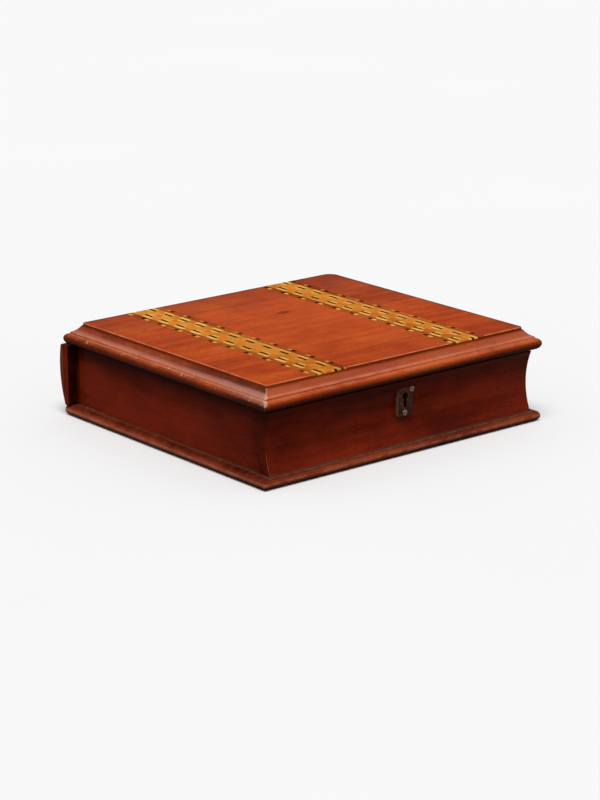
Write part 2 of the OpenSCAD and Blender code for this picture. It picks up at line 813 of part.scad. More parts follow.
base_board();
front_wall();
end_wall_left();
end_wall_right();
back_wall();
spine_board();
floor_lining();
hinge_body_leaf_left();
hinge_body_leaf_right();
hinge_pin_left();
hinge_pin_right();
hinge_body_screws();
lock_case();
lock_cap();
lock_drill_pin();
lock_spring();
lock_screws();
escutcheon();
escutcheon_screws();
lock_bolt();
lid_board();
lid_moulding_front();
lid_moulding_back();
lid_moulding_left();
lid_moulding_right();
inlay_ground_left();
inlay_ground_right();
inlay_ebony_left();
inlay_ebony_right();
inlay_squares_left();
inlay_squares_right();
hinge_lid_leaf_left();
hinge_lid_leaf_right();
hinge_lid_screws();
link_plate();
link_screws();
lid_lining();
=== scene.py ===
"""Antique glove box in the form of a closed book, dressed for its picture.

Sizes are in millimetres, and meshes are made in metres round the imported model.
"""

import json
import logging
import math
import random
from dataclasses import dataclass, field, replace
from enum import Enum
from functools import cached_property
from typing import Callable

import bmesh
import bpy
from mathutils import Matrix, Vector


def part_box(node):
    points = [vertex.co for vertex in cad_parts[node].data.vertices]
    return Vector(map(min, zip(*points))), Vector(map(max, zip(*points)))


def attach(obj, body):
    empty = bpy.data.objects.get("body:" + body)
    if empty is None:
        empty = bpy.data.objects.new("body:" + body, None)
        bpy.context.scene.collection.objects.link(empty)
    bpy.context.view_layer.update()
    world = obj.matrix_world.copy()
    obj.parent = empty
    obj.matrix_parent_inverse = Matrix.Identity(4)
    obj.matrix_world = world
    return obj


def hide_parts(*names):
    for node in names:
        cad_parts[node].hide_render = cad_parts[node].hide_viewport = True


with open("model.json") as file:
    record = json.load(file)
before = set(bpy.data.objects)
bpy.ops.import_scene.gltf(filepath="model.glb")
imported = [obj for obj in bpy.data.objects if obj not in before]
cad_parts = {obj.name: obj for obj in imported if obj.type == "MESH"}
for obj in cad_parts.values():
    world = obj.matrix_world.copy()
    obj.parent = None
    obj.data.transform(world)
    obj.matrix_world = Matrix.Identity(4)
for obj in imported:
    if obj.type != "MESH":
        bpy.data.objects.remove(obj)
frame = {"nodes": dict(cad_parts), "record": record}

MM = 0.001
PICTURE = (600, 800)
UP = Vector((0, 0, 1))

log = logging.getLogger("glove_box")

Socket = bpy.types.NodeSocket
Value = float | int | tuple | Vector | Socket
Material = bpy.types.Material
Piece = bpy.types.Object
Point = Vector | tuple[float, float, float]
Span = tuple[float, float]
Test = Callable[..., bool]


class Axis(Enum):
    """An axis of the box, as its index in a vector."""

    X = 0
    Y = 1
    Z = 2

    @property
    def unit(self) -> Vector:
        """The axis as a vector of length one."""
        return Vector([float(k == self.value) for k in range(3)])


class Side(Enum):
    """Left or right half of the box, as the sign of X."""

    LEFT = -1
    RIGHT = 1

    @property
    def word(self) -> str:
        """The side's name in lower case."""
        return self.name.lower()


def rgb(code: str) -> tuple[float, float, float, float]:
    """Turns a display colour, as a hexadecimal code, into the linear one that shaders take."""
    levels = [int(code[k:k + 2], 16) / 255 for k in (0, 2, 4)]
    return (*(v / 12.92 if v <= 0.04045 else ((v + 0.055) / 1.055) ** 2.4 for v in levels), 1.0)


def shades(codes: str) -> list[tuple]:
    """Linear colours for display colours that are written with spaces between."""
    return [rgb(code) for code in codes.split()]


class NodeDesk:
    """Lays out the nodes of one material or world."""

    def __init__(self, owner: Material | bpy.types.World) -> None:
        """Opens the node tree of a new material or world."""
        owner.use_nodes = True
        self.owner = owner
        self.nodes, self.links = owner.node_tree.nodes, owner.node_tree.links
        self.surface = self.nodes.get("Principled BSDF")

    @cached_property
    def place(self) -> Socket:
        """Object coordinates."""
        return self.add("TexCoord", {}).outputs["Object"]

    def feed(self, socket: Socket, value: Value) -> None:
        """Links a socket to another, or sets its value."""
        if isinstance(value, Socket):
            self.links.new(value, socket)
        else:
            socket.default_value = value

    def add(self, kind: str, inputs: dict, **settings: object) -> bpy.types.Node:
        """Adds a node.

        Args:
            kind: The node's type without the ShaderNode before it.
            inputs: Values or sockets for its inputs, by name or index.
            settings: The node's own properties.

        Returns:
            The new node.
        """
        node = self.nodes.new("ShaderNode" + kind)
        for name, value in settings.items():
            setattr(node, name, value)
        for key, value in inputs.items():
            self.feed(node.inputs[key], value)
        return node

    def noise(self, stretch: tuple, detail: float = 2.0, seed: float = 0.0) -> Socket:
        """Adds a noise.

        Args:
            stretch: Waves per metre along each axis.
            detail: Octaves of finer noise.
            seed: Shift that makes this noise differ from others.

        Returns:
            The noise's value, about 0.5 on average.
        """
        moved = self.add("Mapping", {"Vector": self.place, "Location": (seed,) * 3, "Scale": stretch})
        noise = self.add("TexNoise", {"Vector": moved.outputs[0], "Scale": 1.0, "Detail": detail})
        return noise.outputs["Fac"]

    def sum(self, *terms: tuple) -> Socket:
        """Adds up sockets, each times its factor."""
        total = 0.0
        for socket, factor in terms:
            total = self.add("Math", {0: socket, 1: factor, 2: total}, operation="MULTIPLY_ADD").outputs[0]
        return total

    def times(self, a: Value, b: Value) -> Socket:
        """Multiplies two values."""
        return self.add("Math", {0: a, 1: b}, operation="MULTIPLY").outputs[0]

    def step(self, value: Value, start: float, end: float, low: float = 0.0, high: float = 1.0) -> Socket:
        """Eases from low to high while a value goes from start to end."""
        inputs = {"Value": value, "From Min": start, "From Max": end, "To Min": low, "To Max": high}
        return self.add("MapRange", inputs, interpolation_type="SMOOTHSTEP").outputs["Result"]

    def ramp(self, value: Value, stops: list) -> Socket:
        """Colours a value by a ramp of (position, colour) stops."""
        node = self.add("ValToRGB", {"Fac": value})
        elements = node.color_ramp.elements
        while len(elements) < len(stops):
            elements.new(0.5)
        for element, (position, colour) in zip(elements, stops):
            element.position, element.color = position, colour
        return node.outputs["Color"]

    def mix(self, amount: Value, a: Value, b: Value) -> Socket:
        """Mixes colour b into colour a."""
        return self.add("Mix", {0: amount, 6: a, 7: b}, data_type="RGBA").outputs[2]

    def coordinate(self, axis: Axis) -> Socket:
        """One coordinate of the surface's place, in metres."""
        return self.add("SeparateXYZ", {0: self.place}).outputs[axis.value]

    def seen(self) -> Socket:
        """One where the camera looks, straight or by a reflection or a glass, or else zero."""
        rays = self.add("LightPath", {}).outputs
        found = 0.0
        for ray in ("Camera", "Glossy", "Transmission"):
            found = self.add("Math", {0: found, 1: rays[f"Is {ray} Ray"]}, operation="MAXIMUM").outputs[0]
        return found

    def bump(self, height: Value, depth: float) -> None:
        """Presses a height pattern into the surface, to a depth in millimetres."""
        node = self.add("Bump", {"Height": height, "Distance": depth * MM, "Strength": 1.0})
        self.feed(self.surface.inputs["Normal"], node.outputs[0])

    def finish(self, colour: Value, roughness: Value, fixed: dict[str, float]) -> Material:
        """Sets the surface.

        Args:
            colour: Its colour.
            roughness: Its roughness.
            fixed: Its other inputs, the same all over.

        Returns:
            The finished material.
        """
        for name, value in {"Base Color": colour, "Roughness": roughness, **fixed}.items():
            self.feed(self.surface.inputs[name], value)
        return self.owner


@dataclass(frozen=True)
class Mark:
    """Stain, dust, wear, painted shade, painted highlight or painted sheen inside a box with soft edges,
    given by its ranges along the axes.
    """

    colour: tuple
    strength: float  # most that it covers, from 0 to 1
    x: Span | None = None  # range along X, or None for all of it
    y: Span | None = None  # range along Y, or None
    z: Span | None = None  # range along Z, or None
    slant: Span | None = None  # range of X - Y, or None
    soft: float | tuple[float, float, float] = 1.0  # width of its soft edges, or one width an axis
    broken: float = 0.5  # how far noise breaks it up, from 0 to 1
    sparse: float = 0.0  # how few its spots are, from 0 to 1
    grain: float = 6.0  # size of the breaks
    rough: float = 0.1  # added roughness

    def cover(self, desk: NodeDesk, seed: float) -> Socket:
        """Works out how far the mark covers each place.

        Args:
            desk: The material's nodes.
            seed: Shift of its noise.

        Returns:
            The cover, from 0 to strength.
        """
        noise = desk.noise((1 / (self.grain * MM),) * 3, 3.0, seed)
        start, end = 0.36 + 0.26 * self.sparse, 0.62 + 0.08 * self.sparse
        cover = desk.step(noise, start, end, self.strength * (1 - self.broken), self.strength)
        x, y, z = (desk.coordinate(axis) for axis in Axis)
        soft = self.soft if isinstance(self.soft, tuple) else (self.soft,) * 3
        limits = [(x, self.x, soft[0]), (y, self.y, soft[1]), (z, self.z, soft[2])]
        if self.slant:
            limits.append((desk.sum((x, 1.0), (y, -1.0)), self.slant, soft[0]))
        for place, span, edge in limits:
            if span:
                low, high = (value * MM for value in span)
                cover = desk.times(cover, desk.step(place, low - edge * MM, low))
                cover = desk.times(cover, desk.step(place, high, high + edge * MM, 1.0, 0.0))
        return cover


@dataclass(frozen=True)
class Wood:
    """A polished wood."""

    name: str
    pale: tuple  # colour of the light grain
    middle: tuple
    deep: tuple  # colour of the dark grain
    pore: tuple  # colour of the pores
    along: Axis = Axis.Y  # axis that the grain follows
    pores: float = 0.6  # share of pores that show, from 0 to 1
    polish: float = 0.1  # weight of the polish coat
    seed: float = 0.0  # shift of the grain from other boards
    marks: tuple[Mark, ...] = ()
    roughness: float = 0.42  # roughness under the polish

    def board(self, name: str, along: Axis, seed: float, *marks: Mark) -> Material:
        """Material of one board of this wood, with a grain and marks of its own."""
        return replace(self, name=f"{self.name}_{name}", along=along, seed=seed, marks=marks).material()

    def stretch(self, along: float, across: float) -> tuple[float, ...]:
        """Waves per metre along and across the grain, as one value an axis."""
        return tuple(along if axis is self.along else across for axis in Axis)

    def material(self) -> Material:
        """Builds the material."""
        desk = NodeDesk(bpy.data.materials.new(self.name))
        figure = desk.noise(self.stretch(9, 17), 3.0, self.seed)
        streak = desk.noise(self.stretch(7, 130), 4.0, self.seed + 3)
        fibre = desk.noise(self.stretch(60, 1500), 2.0, self.seed + 5)
        pore = desk.step(desk.noise(self.stretch(300, 3200), 1.0, self.seed + 9), 0.56, 0.7)
        mottle = desk.noise(self.stretch(38, 60), 2.0, self.seed + 7)
        tone = desk.sum((figure, 0.36), (streak, 0.28), (mottle, 0.2), (fibre, 0.16))
        colour = desk.ramp(tone, [(0.41, self.deep), (0.5, self.middle), (0.59, self.pale)])
        colour = desk.mix(desk.times(pore, self.pores), colour, self.pore)
        rough = desk.sum((figure, 0.16), (pore, 0.12), (1.0, self.roughness - 0.08))
        for count, mark in enumerate(self.marks):
            cover = mark.cover(desk, self.seed + 11 + 2 * count)
            colour = desk.mix(cover, colour, mark.colour)
            rough = desk.sum((cover, mark.rough), (rough, 1.0))
        desk.bump(desk.sum((fibre, 0.3), (pore, -0.6), (streak, 0.5)), 0.09)
        return desk.finish(colour, rough, {"Specular IOR Level": 0.0, "Coat Weight": self.polish,
                                           "Coat Roughness": 0.16})


@dataclass(frozen=True)
class Metal:
    """A metal with tarnish, handling marks and fine scratches, and marks laid over them that can paint
    highlights and shade.
    """

    name: str
    bright: tuple  # colour where it is rubbed
    dull: tuple  # colour where it is tarnished
    tarnish: float  # share that is tarnished, from 0 to 1
    roughness: float  # roughness of the rubbed metal
    metallic: float = 1.0  # how metallic it is, from 0 to 1
    patch: float = 5.0  # size of the tarnish patches
    gloss: float = 0.5  # strength of the clear reflection
    marks: tuple[Mark, ...] = ()

    def material(self) -> Material:
        """Builds the material."""
        desk = NodeDesk(bpy.data.materials.new(self.name))
        waves = 1 / (self.patch * MM)
        cloud = desk.noise((waves,) * 3, 4.0)
        speck = desk.noise((waves * 9,) * 3, 3.0, 4.0)
        scratch = desk.noise((2600, 300, 5200), 2.0, 7.0)
        centre = 0.36 + 0.28 * (1 - self.tarnish)
        worn = desk.step(desk.sum((cloud, 0.65), (speck, 0.35)), centre - 0.1, centre + 0.1)
        colour = desk.mix(worn, self.bright, self.dull)
        rough = desk.sum((worn, 0.28), (scratch, 0.12), (1.0, self.roughness - 0.06))
        for count, mark in enumerate(self.marks):
            colour = desk.mix(mark.cover(desk, 11 + 2 * count), colour, mark.colour)
        desk.bump(desk.sum((cloud, 0.6), (speck, 0.5), (scratch, 0.3)), 0.06)
        return desk.finish(colour, rough, {"Metallic": self.metallic, "Specular IOR Level": self.gloss})


@dataclass(frozen=True)
class Velvet:
    """A cut-pile cloth, rubbed in patches."""

    name: str
    pile: tuple  # colour of the upright pile
    rubbed: tuple  # colour where the pile lies flat
    ground: tuple  # colour between the tufts

    def material(self) -> Material:
        """Builds the material."""
        desk = NodeDesk(bpy.data.materials.new(self.name))
        patch = desk.noise((26, 34, 30), 3.0)
        tuft = desk.noise((1900, 1900, 1900), 2.0, 3.0)
        brushed = desk.noise((30, 190, 60), 3.0, 6.0)
        colour = desk.mix(desk.step(patch, 0.3, 0.75), self.pile, self.rubbed)
        colour = desk.mix(desk.step(tuft, 0.34, 0.5, 0.7, 0.0), colour, self.ground)
        desk.bump(desk.sum((tuft, 0.6), (brushed, 0.5)), 0.25)
        return desk.finish(colour, desk.sum((brushed, 0.15), (1.0, 0.8)),
                           {"Sheen Weight": 0.35, "Sheen Roughness": 0.4, "Specular IOR Level": 0.1})


# Near black brown. Mostly painted shade in recesses, under overhangs and on undersides; also the darker end
# grain of the front wall.
SHADE_AND_STAIN = rgb("160804")
DUST = rgb("60523E")
# Pinkish grey painted sheen: a reflection laid on the mouldings' cove, lip and bead.
PAINTED_SHEEN = rgb("AC8478")
# Pale pink of worn edges. It also paints highlights on arrises, lips, beads and the base's nosing.
WEAR_AND_HIGHLIGHT = rgb("DA8A68")
CHIP = rgb("E4B6A0")
# Warm red painted light: brighter patches on the end walls and spine where the light falls.
PAINTED_LIGHT = rgb("A03216")

LID_WOOD = Wood("mahogany", *shades("C7581C BB4815 A43A10 681E0A"), polish=0.05)
BASE_WOOD = Wood("mahogany", *shades("9E4224 8A321A 6C2211 3E1008"), polish=0.08)
WALL_WOOD = Wood("mahogany", *shades("8A2A12 76210D 5C1809 380C05"), polish=0.04)


class Timber(Enum):
    """Woods of the inlaid bands."""

    BOXWOOD = Wood("boxwood_tiles", *shades("F8C26C ECAC52 D08A36 925420"),
                   pores=0.35, polish=0.02, seed=1.3)
    SATINWOOD = Wood("satinwood_tiles", *shades("E2963A D0812C B0621E 7A3E16"),
                     pores=0.4, polish=0.02, seed=5.1)
    TULIPWOOD = Wood("tulipwood_tiles", *shades("C4682E AC5020 863614 501C0A"),
                     pores=0.5, polish=0.02, seed=8.7)
    REDWOOD = Wood("red_wood_tiles", *shades("F0822A E46C20 CE5418 8C2C0C"),
                   pores=0.3, polish=0.02, seed=3.9)
    EBONY = Wood("ebony_tiles", *shades("4E2B0C 3A1E07 241103 0E0701"),
                 pores=0.4, polish=0.0, seed=2.2)


class Fitting(Enum):
    """Metals of the hinges, lock and escutcheon."""

    BRASS = Metal("brass", *shades("CEA054 7A5226"), 0.55, 0.28)
    OLD_BRASS = Metal("old_brass", *shades("5E341F 381D12"), 0.75, 0.45, 0.15, 3.0, 0.12)
    WORN_BRASS = Metal("worn_brass", *shades("B08A74 422A20"), 0.6, 0.36, 0.4, 1.0, 0.3)
    STEEL = Metal("steel", *shades("96928C 4A3E34"), 0.5, 0.34)


class Kind(Enum):
    """What is selected in edit mode, and the mesh list that holds it."""

    VERT = "verts"
    EDGE = "edges"


def middle(edge: bmesh.types.BMEdge) -> Vector:
    """Middle of an edge, in millimetres."""
    return (edge.verts[0].co + edge.verts[1].co) / 2 / MM


def runs_along(edge: bmesh.types.BMEdge, axis: Axis) -> bool:
    """Tells whether an edge lies along an axis."""
    way = (edge.verts[1].co - edge.verts[0].co).normalized()
    return abs(way[axis.value]) > 0.999


def corners(node: str) -> tuple[Vector, Vector]:
    """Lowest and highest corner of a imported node, in millimetres."""
    low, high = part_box(node)
    return low / MM, high / MM


def bow(foot: Vector, head: Vector, bulge: float) -> tuple[Vector, float, float]:
    """Works out the arc from one point to another above it.

    Args:
        foot: The lower point.
        head: The upper point, at the same X.
        bulge: How far the arc stands out towards +Y from the straight line.

    Returns:
        Its centre, its radius and its angle in degrees.
    """
    chord = head - foot
    radius = (chord.length_squared / 4 + bulge**2) / (2 * bulge)
    centre = (foot + head) / 2 + (bulge - radius) * Vector((0, chord.z, -chord.y)).normalized()
    return centre, radius, 2 * math.degrees(math.asin(chord.length / 2 / radius))


class Bench:
    """Makes one piece with Blender's modelling tools, from a primitive to the dressed mesh."""

    def __init__(self, name: str, piece: Piece | None = None) -> None:
        """Takes up a piece, or clears the selection for a new one.

        Args:
            name: The piece's name.
            piece: A piece that is there already.
        """
        self.name, self.piece = name, piece
        self.close()

    def close(self) -> Piece:
        """Leaves edit mode and returns the piece, which alone is selected then."""
        if bpy.context.mode == "EDIT_MESH":
            bpy.ops.object.mode_set(mode="OBJECT")
        for picked in bpy.context.selected_objects:
            picked.select_set(False)
        if self.piece:
            self.piece.select_set(True)
            bpy.context.view_layer.objects.active = self.piece
        return self.piece

    def open(self) -> "Bench":
        """Opens the active piece in edit mode with all of it selected."""
        bpy.ops.object.mode_set(mode="EDIT")
        bpy.ops.mesh.select_all(action="SELECT")
        return self

    def take(self) -> "Bench":
        """Names the new primitive and opens it."""
        self.piece = bpy.context.active_object
        self.piece.name = self.name
        return self.open()

    def block(self, low: Point, high: Point) -> "Bench":
        """Starts from a cube stretched between two corners."""
        low, high = Vector(low), Vector(high)
        bpy.ops.mesh.primitive_cube_add(size=MM)
        self.take()
        bpy.ops.transform.resize(value=high - low)
        bpy.ops.transform.translate(value=(low + high) / 2 * MM)
        return self

    def rod(self, radius: float, low: Point, high: Point, sides: int = 32) -> "Bench":
        """Starts from a cylinder between the middles of its two ends."""
        low, high = Vector(low), Vector(high)
        bpy.ops.mesh.primitive_cylinder_add(
            vertices=sides, radius=radius * MM, depth=(high - low).length * MM)
        turn = UP.rotation_difference(high - low).to_matrix().to_4x4()
        bpy.context.active_object.data.transform(Matrix.Translation((low + high) / 2 * MM) @ turn)
        return self.take()

    def point(self, at: Vector) -> "Bench":
        """Starts an outline: a plane drawn together to one vertex."""
        bpy.ops.mesh.primitive_plane_add(size=MM)
        self.take()
        bpy.ops.mesh.select_mode(type="VERT")
        bpy.ops.mesh.merge(type="CENTER")
        bpy.ops.transform.translate(value=at * MM)
        return self

    def line(self, way: Vector) -> "Bench":
        """Extrudes the outline's last vertex by a vector."""
        bpy.ops.mesh.extrude_vertices_move(TRANSFORM_OT_translate={"value": way * MM})
        return self

    def arc(self, centre: Vector, axis: Vector, degrees: float, steps: int) -> "Bench":
        """Spins the outline's last vertex about an axis through a centre."""
        bpy.ops.mesh.spin(steps=steps, angle=-math.radians(degrees), center=centre * MM, axis=axis)
        return self

    def sweep(self, way: Vector) -> "Bench":
        """Closes the outline, fills it and extrudes it by a vector."""
        bpy.ops.mesh.select_all(action="SELECT")
        bpy.ops.mesh.remove_doubles(threshold=0.01 * MM)
        bpy.ops.mesh.select_all(action="SELECT")
        bpy.ops.mesh.edge_face_add()
        bpy.ops.mesh.extrude_region_move(TRANSFORM_OT_translate={"value": way * MM})
        return self.outward()

    def outward(self) -> "Bench":
        """Turns all faces outwards."""
        bpy.ops.mesh.select_all(action="SELECT")
        bpy.ops.mesh.normals_make_consistent(inside=False)
        return self

    def pick(self, kind: Kind, test: Test) -> bool:
        """Selects what passes a test.

        Args:
            kind: What is selected.
            test: Function of a vertex, edge or face.

        Returns:
            Whether any was found.
        """
        bpy.ops.mesh.select_mode(type=kind.name)
        bpy.ops.mesh.select_all(action="DESELECT")
        mesh = bmesh.from_edit_mesh(self.piece.data)
        found = [item for item in getattr(mesh, kind.value) if test(item)]
        for item in found:
            item.select_set(True)
        bmesh.update_edit_mesh(self.piece.data)
        return bool(found)

    def round_edges(self, test: Test, radius: float, segments: int = 3) -> "Bench":
        """Bevels the edges that pass a test to a radius."""
        if self.pick(Kind.EDGE, test):
            bpy.ops.mesh.bevel(offset=radius * MM, segments=segments, affect="EDGES")
        return self

    def divide(self, test: Test, cuts: int) -> "Bench":
        """Subdivides the edges that pass a test."""
        if self.pick(Kind.EDGE, test):
            bpy.ops.mesh.subdivide(number_cuts=cuts)
        return self

    def slice(self, at: Vector, normal: Vector) -> "Bench":
        """Cuts off what lies in front of a plane, and closes the cut."""
        bpy.ops.mesh.select_all(action="SELECT")
        bpy.ops.mesh.bisect(plane_co=at * MM, plane_no=normal, clear_outer=True, use_fill=True)
        return self

    def dent(self, at: Vector, way: Vector, reach: float) -> "Bench":
        """Presses the nearest vertex, and those within reach of it, by a vector."""
        mesh = bmesh.from_edit_mesh(self.piece.data)
        place = min(mesh.verts, key=lambda vert: (vert.co / MM - at).length_squared).co.copy()
        self.pick(Kind.VERT, lambda vert: vert.co == place)
        bpy.ops.transform.translate(
            value=way * MM, use_proportional_edit=True, proportional_size=reach * MM,
            proportional_edit_falloff="SMOOTH")
        return self

    def apply(self, kind: str, **settings: object) -> "Bench":
        """Adds a modifier and applies it."""
        modifier = self.close().modifiers.new(kind.lower(), kind)
        for name, value in settings.items():
            setattr(modifier, name, value)
        bpy.ops.object.modifier_apply(modifier=modifier.name)
        return self

    def cut(self, *others: Piece, operation: str = "DIFFERENCE") -> "Bench":
        """Cuts the piece by others, or combines it with them in another way, and uses them up."""
        for other in others:
            self.apply("BOOLEAN", object=other, operation=operation, solver="EXACT")
            bpy.data.objects.remove(other)
        return self

    def soften(self, width: float, angle: float = 40, segments: int = 2) -> "Bench":
        """Rounds all edges sharper than an angle, by a width."""
        return self.apply("BEVEL", width=width * MM, segments=segments, limit_method="ANGLE",
                          angle_limit=math.radians(angle))

    def smooth(self, degrees: float = 30) -> "Bench":
        """Shades smooth, with edges sharper than an angle kept."""
        self.close()
        bpy.ops.object.shade_smooth_by_angle(angle=math.radians(degrees))
        return self

    def fit_out(self, body: str, slot: str, material: Material, *nodes: str) -> Piece:
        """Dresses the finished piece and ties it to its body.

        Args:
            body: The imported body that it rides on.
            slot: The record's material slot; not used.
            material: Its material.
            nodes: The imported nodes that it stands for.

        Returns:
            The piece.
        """
        piece = self.piece
        piece.data.materials.clear()
        piece.data.materials.append(material)
        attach(piece, body)
        if nodes:
            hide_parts(*nodes)
        log.info("%s: %d faces", piece.name, len(piece.data.polygons))
        return piece


def block(low: Point, high: Point) -> Piece:
    """A plain block between two corners, used only to cut others."""
    return Bench("cutter").block(low, high).close()


def rod(radius: float, low: Point, high: Point, sides: int = 64) -> Piece:
    """A plain rod between the middles of its ends, used only to cut others."""
    return Bench("cutter").rod(radius, low, high, sides).close()


@dataclass
class Case:
    """Base board, four walls and the rounded spine."""

    nose: float = 4.2  # radius of the base board's nosed edge
    hollow: float = 5.5  # depth of the front wall's hollow
    lock_x: float = 1.5  # place of the keyhole along the front
    key_z: float = 45.4  # height of the keyhole's head
    key_reach: float = 8.9  # length of the keyhole's tail
    key_r: float = 2.7  # radius of its head
    key_slot: float = 3.0  # width of its tail
    lock_half: float = 23.2  # half the length of the lock case
    lock_depth: float = 8.0  # depth of the lock case in the wall
    leaf_t: float = 1.4  # depth of the mortises for the hinge leaves
    knuckle_r: float = 2.6  # radius of the room round the hinge knuckles
    spine_foot: float = 5.2  # thickness of the spine at its foot
    spine_head: float = 9.5  # thickness of the spine at its top
    bulge: float = 3.7  # bulge of the spine
    play: float = 0.1  # gap round a plate in its mortise
    eased: float = 0.35  # width of the front wall's eased edges
    end_eased: float = 0.2  # width of the end walls' eased edges
    back_eased: float = 0.25  # width of the back wall's eased edges
    spine_eased: float = 0.7  # width of the spine's eased edges
    clear: float = 9.0  # how far a cutter stands out at its free sides

    def build(self) -> None:
        """Builds and dresses the case."""
        self.base()
        self.front()
        for side in Side:
            self.end(side)
        self.back()
        self.spine()

    def base(self) -> None:
        """Base board with a nosed edge, square above its back edge."""
        low, high = corners("base_board")
        top = high.z

        def nosed(edge: bmesh.types.BMEdge) -> bool:
            """Tells whether an edge belongs to the nosing."""
            is_back_top = runs_along(edge, Axis.X) and (middle(edge).yz - high.yz).length < 1
            return not (runs_along(edge, Axis.Z) or is_back_top)

        bench = Bench("base_panel").block(low, high).round_edges(nosed, self.nose, 9).smooth(40)
        bench.fit_out("box", "mahogany", BASE_WOOD.board(
            "base", Axis.X, 21.0,
            # Painted shade on the base's top, against the walls and under the lid's overhang.
            Mark(SHADE_AND_STAIN, 0.6, z=(top - 0.9, top + 1), soft=0.9, broken=0.3),
            Mark(DUST, 0.75, x=(-133.4, 133.4), y=(-126.2, 140), z=(top - 0.3, top + 1), soft=0.5,
                 broken=0.6, grain=5, rough=0.3),
            # Painted shade on the lower side of the nosing, down to the floor.
            Mark(SHADE_AND_STAIN, 0.85, z=(low.z - 1, low.z + 0.9), soft=(1, 1, 3.0), broken=0.1),
            # Painted highlight along the front of the nosing, with more at its left end.
            Mark(WEAR_AND_HIGHLIGHT, 0.38, z=(top - 4.6, top - 3.4), soft=1.1, broken=0.7, grain=9),
            Mark(WEAR_AND_HIGHLIGHT, 0.22, x=(-141, -136), z=(top - 4.8, top - 3.4), grain=12),
        ), "base_board")

    def bowed(self, name: str, corner: Vector, thick: float, head: Vector, bulge: float) -> Bench:
        """Starts a board as long as the box, with one bowed side.

        Args:
            name: The piece's name.
            corner: Its lower corner opposite the bow, at its left end.
            thick: Step along Y from there to the foot of the bow.
            head: Upper end of the bow.
            bulge: How far the bow stands out towards +Y.

        Returns:
            The bench with the board.
        """
        centre, _, degrees = bow(Vector((corner.x, corner.y + thick, corner.z)), head, bulge)
        bench = Bench(name).point(corner).line(Vector((0, thick, 0)))
        bench.arc(centre, Axis.X.unit, degrees, 24).line(Vector((0, corner.y - head.y, 0)))
        return bench.sweep(Vector((-2 * corner.x, 0, 0)))

    def front(self) -> None:
        """Front wall with its hollow, rebates, lock mortise and keyhole."""
        low, high = corners("front_wall")
        left, top = low.x, high.z
        bench = self.bowed("front_board", Vector((left, high.y, low.z)), low.y - high.y,
                           Vector((left, low.y, top)), self.hollow)
        for side in Side:
            wall_low, wall_high = corners("end_wall_" + side.word)
            bench.cut(block(wall_low - Vector((self.clear * (side is Side.LEFT), 0, 1)),
                            wall_high + Vector((self.clear * (side is Side.RIGHT), 0, 1))))
        bench.cut(*self.lock_mortise(high), *self.keyhole(low.y - 1, high.y))
        bench.soften(self.eased).smooth()
        bench.fit_out("box", "mahogany_dark", WALL_WOOD.board(
            "front", Axis.X, 4.0,
            # Painted shadow under the lid, fading down the wall.
            Mark(SHADE_AND_STAIN, 0.5, z=(top - 3, top + 1), soft=12, broken=0.2, grain=30),
            Mark(DUST, 0.4, z=(low.z - 1, low.z + 0.7), rough=0.3),
            # Darker end grain at both ends of the wall.
            Mark(SHADE_AND_STAIN, 0.4, x=(left - 1, left + 0.05), soft=0.05),
            Mark(SHADE_AND_STAIN, 0.4, x=(-left - 0.05, -left + 1), soft=0.05),
            # Pale line up the lower part of the left corner: wear with a painted highlight.
            Mark(WEAR_AND_HIGHLIGHT, 0.35, x=(left + 0.12, left + 0.5), z=(low.z, low.z + 14), soft=(0.06, 1, 8),
                 broken=0.6, grain=5),
            # Painted shade inside the keyhole.
            Mark(SHADE_AND_STAIN, 0.95, x=(-1.5, 4.5), y=(low.y + 5.4, high.y), z=(36, 48.5), soft=0.4, broken=0.1),
        ), "front_wall")

    def lock_mortise(self, wall: Vector) -> list[Piece]:
        """Cutters for the lock case, its cap and its top plate.

        Args:
            wall: Highest corner of the front wall.

        Returns:
            The three cutters.
        """
        low, high = corners("lock_cap")
        plate_y = corners("lock_case")[0].y
        x, half, top = self.lock_x, self.lock_half, wall.z
        rooms = [((x - half, high.y - self.lock_depth, low.z), (x + half, high.y, top)),
                 (low, (high.x, high.y, top)),
                 ((low.x, plate_y, high.z), (high.x, wall.y, top))]
        play, beyond = Vector((self.play,) * 3), Vector((0, 1, 1))
        return [block(Vector(start) - play, Vector(end) + play + beyond) for start, end in rooms]

    def keyhole(self, front: float, back: float) -> list[Piece]:
        """Cutters for the keyhole's head and tail, from one depth to another."""
        x, z, half = self.lock_x, self.key_z, self.key_slot / 2
        return [rod(self.key_r, (x, front, z), (x, back, z)),
                block((x - half, front, z - self.key_reach), (x + half, back, z))]

